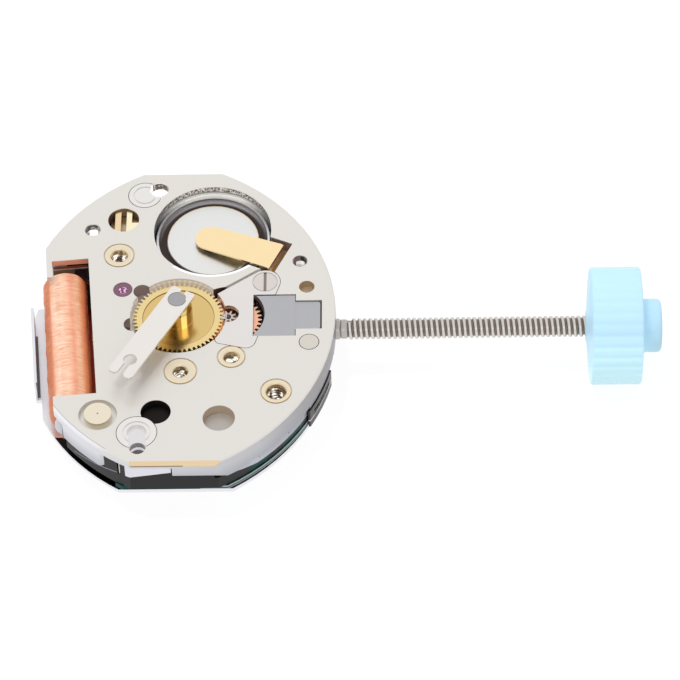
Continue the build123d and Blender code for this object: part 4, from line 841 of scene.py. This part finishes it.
class MOVEMENT_OT_metals(bpy.types.Operator):
    """Finishes of the brass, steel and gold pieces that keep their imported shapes"""
    bl_idname = "movement.metals"
    bl_label = "Metal finishes"

    def execute(self, context):
        metals = context.scene.metals
        head_radius = {"lower": 0.66, "right": 0.56}
        for name, (x, y, bore) in PILLARS.items():
            pillar = metal("pillar_brass_" + name, metals.brass, 0.3)
            reach = pillar.reach(x, y)
            head = head_radius.get(name, 0.62)
            pillar.surface(
                Base_Color=pillar.paint(
                    metals.brass, (reach.within(head - 0.11, head - 0.03), (0.88, 0.74, 0.50)),
                    ((reach > head - 0.03) * 0.75, (0.40, 0.28, 0.15)),
                    (reach < bore + 0.04, (0.75, 0.60, 0.38)),
                )
            )
            pillar.dress("screw_pillar_" + name)
        eccentric = metal("eccentric_brass", metals.strap_gold, 0.22)
        top = eccentric.z > -0.16
        # Painted shade and light: darker on the left and lower down, paler on the right and on the
        # top, brightest on the right of the top
        eccentric.surface(
            Base_Color=eccentric.paint(
                (0.48, 0.37, 0.25), (eccentric.x > -2.33, (0.72, 0.55, 0.28)),
                (top, (0.86, 0.66, 0.40)), (top * (eccentric.x > -2.36), (0.98, 0.88, 0.62)),
            )
        )
        eccentric.dress("contact_eccentric")
        pin = metal("pin_brass", tint(metals.brass, 1.06, 1.08, 1.05), 0.25)
        dot = pin.inside(-3.08, -5.24, 0.035, top=1.0)
        pin.surface(Base_Color=pin.blend(dot, tint(metals.brass, 1.05), (0.2, 0.16, 0.1)))
        pin.dress("locating_pin")
        warm = (0.72, 0.66, 0.63)
        screw = metal("bridge_screw_steel", warm, 0.26, (1, 5, 1))
        slot = screw.x.within(3.48, 3.60) * screw.z.within(-0.09, -0.01)
        # Painted shade in the slot of the screw's head
        screw.surface(Base_Color=screw.blend(slot * 0.8, warm, (0.16, 0.12, 0.10)))
        screw.dress("bridge_screw")
        metal("lever_head", (0.715, 0.67, 0.61), 0.3).dress("setting_lever")
        metal("plated_bridge", metals.nickel, 0.32).dress("train_bridge")
        pale = (0.82, 0.80, 0.78)
        clamp = metal("clamp_steel", pale, 0.28)
        sunk = clamp.z < -0.1
        # Painted light: the sunk parts of the clamps are lilac-grey and glow a little
        clamp.surface(Base_Color=clamp.blend(sunk, pale, (0.65, 0.625, 0.635)))
        clamp.glow(clamp.blend(sunk, BLACK, (0.12, 0.12, 0.125)), 1.0)
        clamp.dress("dial_foot_clamp_upper", "dial_foot_clamp_lower")
        metal("bridge_steel", (0.80, 0.765, 0.745), 0.26, (1, 6, 1)).dress("minute_train_bridge")
        metal("clip_steel", (0.855, 0.82, 0.785), 0.30).dress("transport_clip")
        metal("cannon_steel", (0.40, 0.40, 0.42), 0.35).dress("cannon_pinion")
        metal("screw_steel", (0.62, 0.60, 0.59), 0.24, (1, 5, 1)).dress(
            "back_screws", "cover_screws", "bridle_screw",
        )
        metal("keyless_steel", (0.52, 0.51, 0.50), 0.28).dress(
            "sliding_pinion", "clutch_yoke", "rotor_pinion",
        )
        metal("cover_grey", metals.grey_steel, 0.34, (6, 1, 1)).dress("setting_cover")
        metal("core_iron", (0.16, 0.13, 0.13), 0.34, (1, 6, 1)).dress("coil_core")
        grey = (0.34, 0.33, 0.32)
        iron = metal("stator_iron", grey, 0.34, (1, 6, 1))
        slant = iron.y - iron.x * COIL_SLOPE
        # Painted shade and light on the stator's top beside the coil: near black, brown at the
        # left, a copper-red band and a pale highlight line
        seen = (iron.z > -0.95) * (iron.x < -3.5)
        iron.surface(
            Base_Color=iron.paint(
                grey, (seen, (0.07, 0.05, 0.06)), (seen * (iron.x < -4.45), (0.34, 0.27, 0.18)),
                (seen * (slant > 3.76), (0.42, 0.15, 0.11)),
                (seen * slant.within(3.70, 3.76), (0.85, 0.85, 0.88)),
            )
        )
        iron.dress("stator")
        dark = (0.055, 0.05, 0.05)
        leaf = metal("leaf_steel", dark, 0.35)
        slit = leaf.z.within(-1.80, -1.735)
        leaf.surface(Base_Color=leaf.blend(slit, dark, (0.62, 0.60, 0.60)))
        leaf.dress("side_leaf")
        metal("magnet_grey", (0.16, 0.16, 0.17), 0.4).dress("rotor_magnet")
        copper = (0.95, 0.53, 0.36)
        minute = metal("minute_copper", copper, 0.3)
        star = minute.inside(MINUTE_X, 0, 0.44, top=0.0, bottom=-0.399)
        minute.surface(Base_Color=minute.blend(star, copper, (0.62, 0.58, 0.56)))
        minute.dress("minute_wheel")
        metal("train_gilt", metals.gilt, 0.28).dress(
            "intermediate_wheel", "third_wheel", "centre_wheel",
        )
        metal("strap_gold", metals.strap_gold, 0.24, (1, 4, 1)).dress("contact_strap")
        metal("bridle_steel", (0.72, 0.71, 0.70), 0.3, (5, 1, 1)).dress("battery_bridle")
        cool = (0.80, 0.80, 0.84)
        sheet = metal("back_sheet", cool, 0.3, (5, 1, 1))
        slant = sheet.x + sheet.y * COIL_SLOPE
        # Painted shade on the back cover: dark copper-red beside the coil, a dark shadow line along
        # the slot, and near black beneath the module
        beside = slant.within(-4.3, -3.2) * sheet.y.within(-3.3, 3.1) * sheet.z.within(-2.32, -1.2)
        slot = slant.within(-6.03, -5.90) * sheet.y.within(-2.5, 0.8) * sheet.z.within(-2.27, -1.31)
        under = (sheet.y < -4.6) * (sheet.z > -2.27) * (slant < -3.0)
        sheet.surface(
            Base_Color=sheet.paint(
                cool, (beside, (0.30, 0.05, 0.03)), (slot, (0.16, 0.14, 0.14)),
                (under, (0.02, 0.02, 0.022)),
            )
        )
        sheet.dress("back_cover")
        metal("crystal_can", (0.66, 0.66, 0.66), 0.2).dress("quartz_crystal")
        hour = Finish("hour_gilt")
        reach = hour.reach(0, 0)
        turned = hour.node("CombineXYZ", {}, reach * 26.0, hour.z, 0.0)
        rings = hour.node("TexNoise", {}, turned, Scale=1.0, Detail=3.0)
        cloud = hour.noise(2.0, 2.0)
        gilt = metals.gilt
        wheel = hour.blend(rings * 0.35 + cloud * 0.15, gilt, tint(gilt, 0.93, 0.88, 0.8))
        on_pipe = reach < 0.64
        pipe = hour.ramp(
            hour.x.share(-0.62, 0.62), (0.0, (0.66, 0.47, 0.16)), (0.22, (0.42, 0.26, 0.08)),
            (0.46, (0.56, 0.38, 0.12)), (0.60, (0.66, 0.45, 0.16)), (0.64, (1.0, 0.86, 0.44)),
            (0.79, (1.0, 0.86, 0.44)), (0.83, (0.40, 0.23, 0.06)), (0.92, (0.34, 0.19, 0.05)),
            (1.0, (0.70, 0.50, 0.18)),
        )
        # Painted light and shade: the teeth paler towards the top and darker at the bottom, and
        # bands across the pipe, dark at its sides with a bright stripe
        hour.surface(
            Base_Color=hour.paint(
                wheel, (reach > 1.48, (0.84, 0.66, 0.32)),
                (reach.within(1.45, 1.485), (0.46, 0.32, 0.13)),
                ((reach > 1.80) * hour.y.share(-0.6, 1.4), (0.88, 0.80, 0.60)),
                ((reach > 1.90) * (hour.y < -1.1) * 0.6, (0.55, 0.33, 0.10)),
                (on_pipe * (hour.z > -0.2), pipe),
            ),
            Metallic=1.0,
            Roughness=rings * 0.08 + 0.16,
        )
        # Painted highlight: the bright stripe on the pipe glows
        gleam = on_pipe * hour.x.within(0.16, 0.37)
        hour.glow(hour.blend(gleam, BLACK, (0.50, 0.38, 0.13)), 1.0)
        hour.bump(rings, 0.08, 0.008)
        hour.dress("hour_wheel")
        cell = Finish("cell_steel")
        reach = cell.reach(CELL_X, CELL_Y)
        turned = cell.node("CombineXYZ", {}, reach * 18.0, cell.z * 18.0, 0.0)
        rings = cell.node("TexNoise", {}, turned, Scale=1.0, Detail=3.0)
        shell = (cell.z < -0.50) * (reach > 2.0)
        # Painted reflection: a pale gold rim on the far edge of the cap; the can's ring in the well
        # is painted lighter against its shade
        edge = reach.within(1.86, 1.96) * (cell.y > CELL_Y)
        cell.surface(
            Base_Color=cell.paint(
                cell.blend(rings * 0.3, (0.815, 0.815, 0.80), (0.75, 0.75, 0.735)),
                (edge * 0.8, (0.84, 0.70, 0.46)), (shell, (0.80, 0.80, 0.80)),
                (shell * (reach < 2.295) * (cell.z < -0.55), (0.86, 0.83, 0.855)),
            ),
            Metallic=1.0,
            Roughness=rings * 0.1 + 0.26,
        )
        cell.bump(rings, 0.1, 0.01)
        cell.dress("battery_can", "battery_cap")
        return {"FINISHED"}


class MOVEMENT_OT_nonmetals(bpy.types.Operator):
    """Finishes of the plastic frames, board, seal and stones"""
    bl_idname = "movement.nonmetals"
    bl_label = "Plastic and stone finishes"

    def plastic(self, name, colour, roughness, *nodes):
        """Dull moulded plastic with a fine grain."""
        finish = Finish(name)
        grain = finish.noise(18.0, 4.0)
        cloud = finish.noise(1.5, 2.0)
        finish.surface(
            Base_Color=finish.blend(cloud * 0.5, colour, tint(colour, 0.75)),
            Roughness=grain * 0.16 + roughness,
            Specular_IOR_Level=0.25,
        )
        finish.bump(grain, 0.2, 0.01)
        finish.dress(*nodes)
        return finish

    def frame(self):
        """Black frames, with the plated lip and the lines of light that cross them."""
        finish = self.plastic(
            "frame_black", PLASTIC_BLACK, 0.35, "module_spacer", "battery_frame"
        )
        x, y, z = finish.x, finish.y, finish.z
        rim = finish.reach(-ARC_X, 0).at_least(finish.reach(ARC_X, 0))
        outside = (rim > 8.2) * (y < 0.0)
        apron = outside * (x > 1.9) * (z + x.share(1.9, 3.3) * 0.42 > -1.04)
        wedge = x.within(-1.95, -0.10) * (y < -7.4) * (z - x * 0.17 > -0.71)
        # Painted highlight: a thin pale line across the black frame at the lower left
        gleam = x.within(-4.1, -2.3) * (y < -5.0) * (z - x * 0.273).within(-0.435, -0.40)
        teal = outside * x.within(2.95, 3.75).at_least(x.within(4.35, 5.1)) * z.within(-2.02, -1.46)
        lining = outside * (x > 2.6) * (z < -2.02)
        leaf = outside * y.within(-3.95, -2.45) * (x > 4.0) * z.within(-1.76, -1.44)
        sunk = finish.inside(*DARK_HOLE, top=-0.1)
        metallic = apron
        for part in (wedge, leaf, sunk, gleam, teal, lining):
            metallic = metallic.at_least(part)
        finish.surface(
            Base_Color=finish.paint(
                (0.014, 0.013, 0.014), (teal, BOARD_GREEN), (lining, (0.22, 0.26, 0.26)),
                (leaf, (0.55, 0.54, 0.54)), (wedge, (0.72, 0.72, 0.78)),
                (gleam, (0.34, 0.37, 0.44)), (apron, finish.side_wall()),
                (sunk, (0.02, 0.017, 0.016)),
            ),
            Metallic=metallic,
        )

    def execute(self, context):
        self.plastic("chip_black", PLASTIC_BLACK, 0.35, "logic_chip")
        self.frame()
        olive = (0.20, 0.17, 0.06)
        flange = self.plastic("flange_olive", olive, 0.4, "coil_flanges")
        low = flange.y < -2.0
        flange.surface(
            Base_Color=flange.blend(low, olive, (0.68, 0.69, 0.75)), Metallic=low,
        )
        seal = self.plastic("seal_dark", (0.035, 0.028, 0.025), 0.4, "battery_gasket")
        lit = seal.reach(CELL_X, CELL_Y).share(2.13, 2.22) * (seal.y - CELL_Y).share(0.0, 2.0)
        seal.surface(Base_Color=seal.blend(lit, (0.04, 0.024, 0.022), (0.34, 0.34, 0.35)))
        self.plastic("film_amber", (0.52, 0.34, 0.14), 0.35, "contact_insulator")
        board = Finish("board_green")
        weave = board.noise(12.0, 3.0, (1, 4, 1))
        edge = board.z.within(-1.89, -1.81).at_least(board.z < -1.96) * (board.x > 1.0)
        board.surface(
            Base_Color=board.blend(edge * 0.85, BOARD_GREEN, (0.42, 0.47, 0.46)),
            Metallic=1.0,
            Roughness=weave * 0.2 + 0.3,
            Specular_IOR_Level=0.2,
        )
        board.bump(weave, 0.2, 0.01)
        board.dress("circuit_board")
        ruby = Finish("ruby_stone")
        cloud = ruby.noise(6.0, 2.0)
        stone = context.scene.metals.ruby
        # Painted sparkle: glowing pink glints at the jewel's centre
        painted_sparkle = ruby.inside(-2.32, 1.38, 0.17, top=1.0) * (ruby.noise(9.0, 1.0) > 0.47)
        ruby.glow(ruby.blend(painted_sparkle, (0.005, 0.002, 0.003), (0.42, 0.24, 0.40)), 1.0)
        ruby.surface(
            Base_Color=ruby.paint(
                ruby.blend(cloud, stone, tint(stone, 0.6)), (painted_sparkle, (0.72, 0.42, 0.74))
            ),
            Roughness=cloud * 0.06 + 0.05,
            Coat_Weight=0.6,
            Transmission_Weight=0.25,
            IOR=1.76,
        )
        ruby.dress("plate_jewel", "back_jewels")
        return {"FINISHED"}


class MOVEMENT_OT_stage(bpy.types.Operator):
    """White ground, soft lamps and the camera of the photograph"""
    bl_idname = "movement.stage"
    bl_label = "Stage"

    def lamp(self, name, place, target, size, power, glossy=True):
        """A round lamp that may be hidden from reflections."""
        data = bpy.data.lights.new(name, "AREA")
        data.shape = "DISK"
        data.size = size
        data.energy = power
        lamp = bpy.data.objects.new(name, data)
        bpy.context.scene.collection.objects.link(lamp)
        lamp.location = place
        aim = Vector(target) - Vector(place)
        lamp.rotation_euler = aim.to_track_quat("-Z", "Y").to_euler()
        lamp.visible_glossy = glossy

    def execute(self, context):
        scene = context.scene
        clear_selection()
        gap = 0.00005
        bpy.ops.mesh.primitive_plane_add(size=3, location=(0, 0, CAD_BOX[0][2] - gap))
        floor = name_piece("ground")
        paint = Finish("ground_white")
        rays = paint.tree.nodes.new("ShaderNodeLightPath").outputs
        seen = Level(paint, rays["Is Camera Ray"])
        glossy = Level(paint, rays["Is Glossy Ray"])
        through = Level(paint, rays["Is Transmission Ray"])
        direct = seen.at_least(glossy).at_least(through)
        paint.surface(
            Base_Color=(0.20, 0.20, 0.20), Roughness=0.9, Specular_IOR_Level=0.0,
            Emission_Color=(1, 1, 1), Emission_Strength=direct * 0.87,
        )
        floor.data.materials.append(paint.material)
        world = bpy.data.worlds.new("studio_white")
        scene.world = world
        world.use_nodes = True
        tree = world.node_tree
        tree.nodes.clear()
        # White to the camera and in reflections, a little dimmer as diffuse light
        path = tree.nodes.new("ShaderNodeLightPath")
        direct = tree.nodes.new("ShaderNodeMath")
        direct.operation = "MAXIMUM"
        tree.links.new(path.outputs["Is Camera Ray"], direct.inputs[0])
        tree.links.new(path.outputs["Is Glossy Ray"], direct.inputs[1])
        strength = tree.nodes.new("ShaderNodeMapRange")
        tree.links.new(direct.outputs[0], strength.inputs[0])
        strength.inputs[RANGE_TO_MIN].default_value = 0.72
        strength.inputs[RANGE_TO_MAX].default_value = 1.0
        background = tree.nodes.new("ShaderNodeBackground")
        background.inputs[0].default_value = (1, 1, 1, 1)
        tree.links.new(strength.outputs[0], background.inputs[1])
        output = tree.nodes.new("ShaderNodeOutputWorld")
        tree.links.new(background.outputs[0], output.inputs[0])
        self.lamp("overhead", (-0.05, 0.01, 0.30), (0, 0, 0), 0.05, 0.30, glossy=False)
        self.lamp("front", (0.05, -0.30, 0.22), (0.004, 0, 0), 0.20, 0.03)
        self.camera(scene)
        scene.view_settings.view_transform = "Standard"
        return {"FINISHED"}

    def camera(self, scene):
        """The photograph's camera, placed in millimetres from the point that it aims at."""
        high, side, roll = radians(49.974), radians(1.338), radians(-1.704)
        aim, distance = Vector((6.631, -1.479, 0)), 152.92
        focal_pixels, picture_pixels, sensor = 3759.467, 680, 36
        back = Vector((sin(side) * cos(high), -cos(side) * cos(high), sin(high)))
        right = Vector((cos(side), sin(side), 0))
        up = back.cross(right)
        right, up = cos(roll) * right + sin(roll) * up, cos(roll) * up - sin(roll) * right
        place = aim + back * distance
        data = bpy.data.cameras.new("photo_camera")
        data.sensor_width = sensor
        data.lens = focal_pixels / picture_pixels * sensor
        data.clip_start = 0.001
        data.clip_end = 10
        camera = bpy.data.objects.new("photo_camera", data)
        scene.collection.objects.link(camera)
        camera.matrix_world = Matrix((
            (right.x, up.x, back.x, place.x * MM),
            (right.y, up.y, back.y, place.y * MM),
            (right.z, up.z, back.z, place.z * MM),
            (0, 0, 0, 1),
        ))
        scene.camera = camera


STEPS = (
    MOVEMENT_OT_plate, MOVEMENT_OT_metals, MOVEMENT_OT_nonmetals, MOVEMENT_OT_stem,
    MOVEMENT_OT_crown, MOVEMENT_OT_coil, MOVEMENT_OT_tape, MOVEMENT_OT_bore_threads,
    MOVEMENT_OT_stage,
)


class MOVEMENT_PT_panel(bpy.types.Panel):
    """Sizes, colours and pieces of the movement"""
    bl_idname = "MOVEMENT_PT_panel"
    bl_label = "Watch movement"
    bl_space_type = "VIEW_3D"
    bl_region_type = "UI"
    bl_category = "Movement"

    def draw(self, context):
        layout = self.layout
        for group in (context.scene.winder, context.scene.metals):
            box = layout.box()
            for name in group.__annotations__:
                box.prop(group, name)
        for step in STEPS:
            layout.operator(step.bl_idname)


CLASSES = (WinderSettings, MetalSettings, *STEPS, MOVEMENT_PT_panel)


def register():
    for item in CLASSES:
        bpy.utils.register_class(item)
    bpy.types.Scene.winder = bpy.props.PointerProperty(type=WinderSettings)
    bpy.types.Scene.metals = bpy.props.PointerProperty(type=MetalSettings)


def unregister():
    del bpy.types.Scene.winder
    del bpy.types.Scene.metals
    for item in reversed(CLASSES):
        bpy.utils.unregister_class(item)


def main():
    register()
    bpy.ops.movement.plate()
    bpy.ops.movement.metals()
    bpy.ops.movement.nonmetals()
    bpy.ops.movement.stem()
    bpy.ops.movement.crown()
    bpy.ops.movement.coil()
    bpy.ops.movement.tape()
    bpy.ops.movement.bore_threads()
    bpy.ops.movement.stage()


if __name__ == "__main__":
    main()
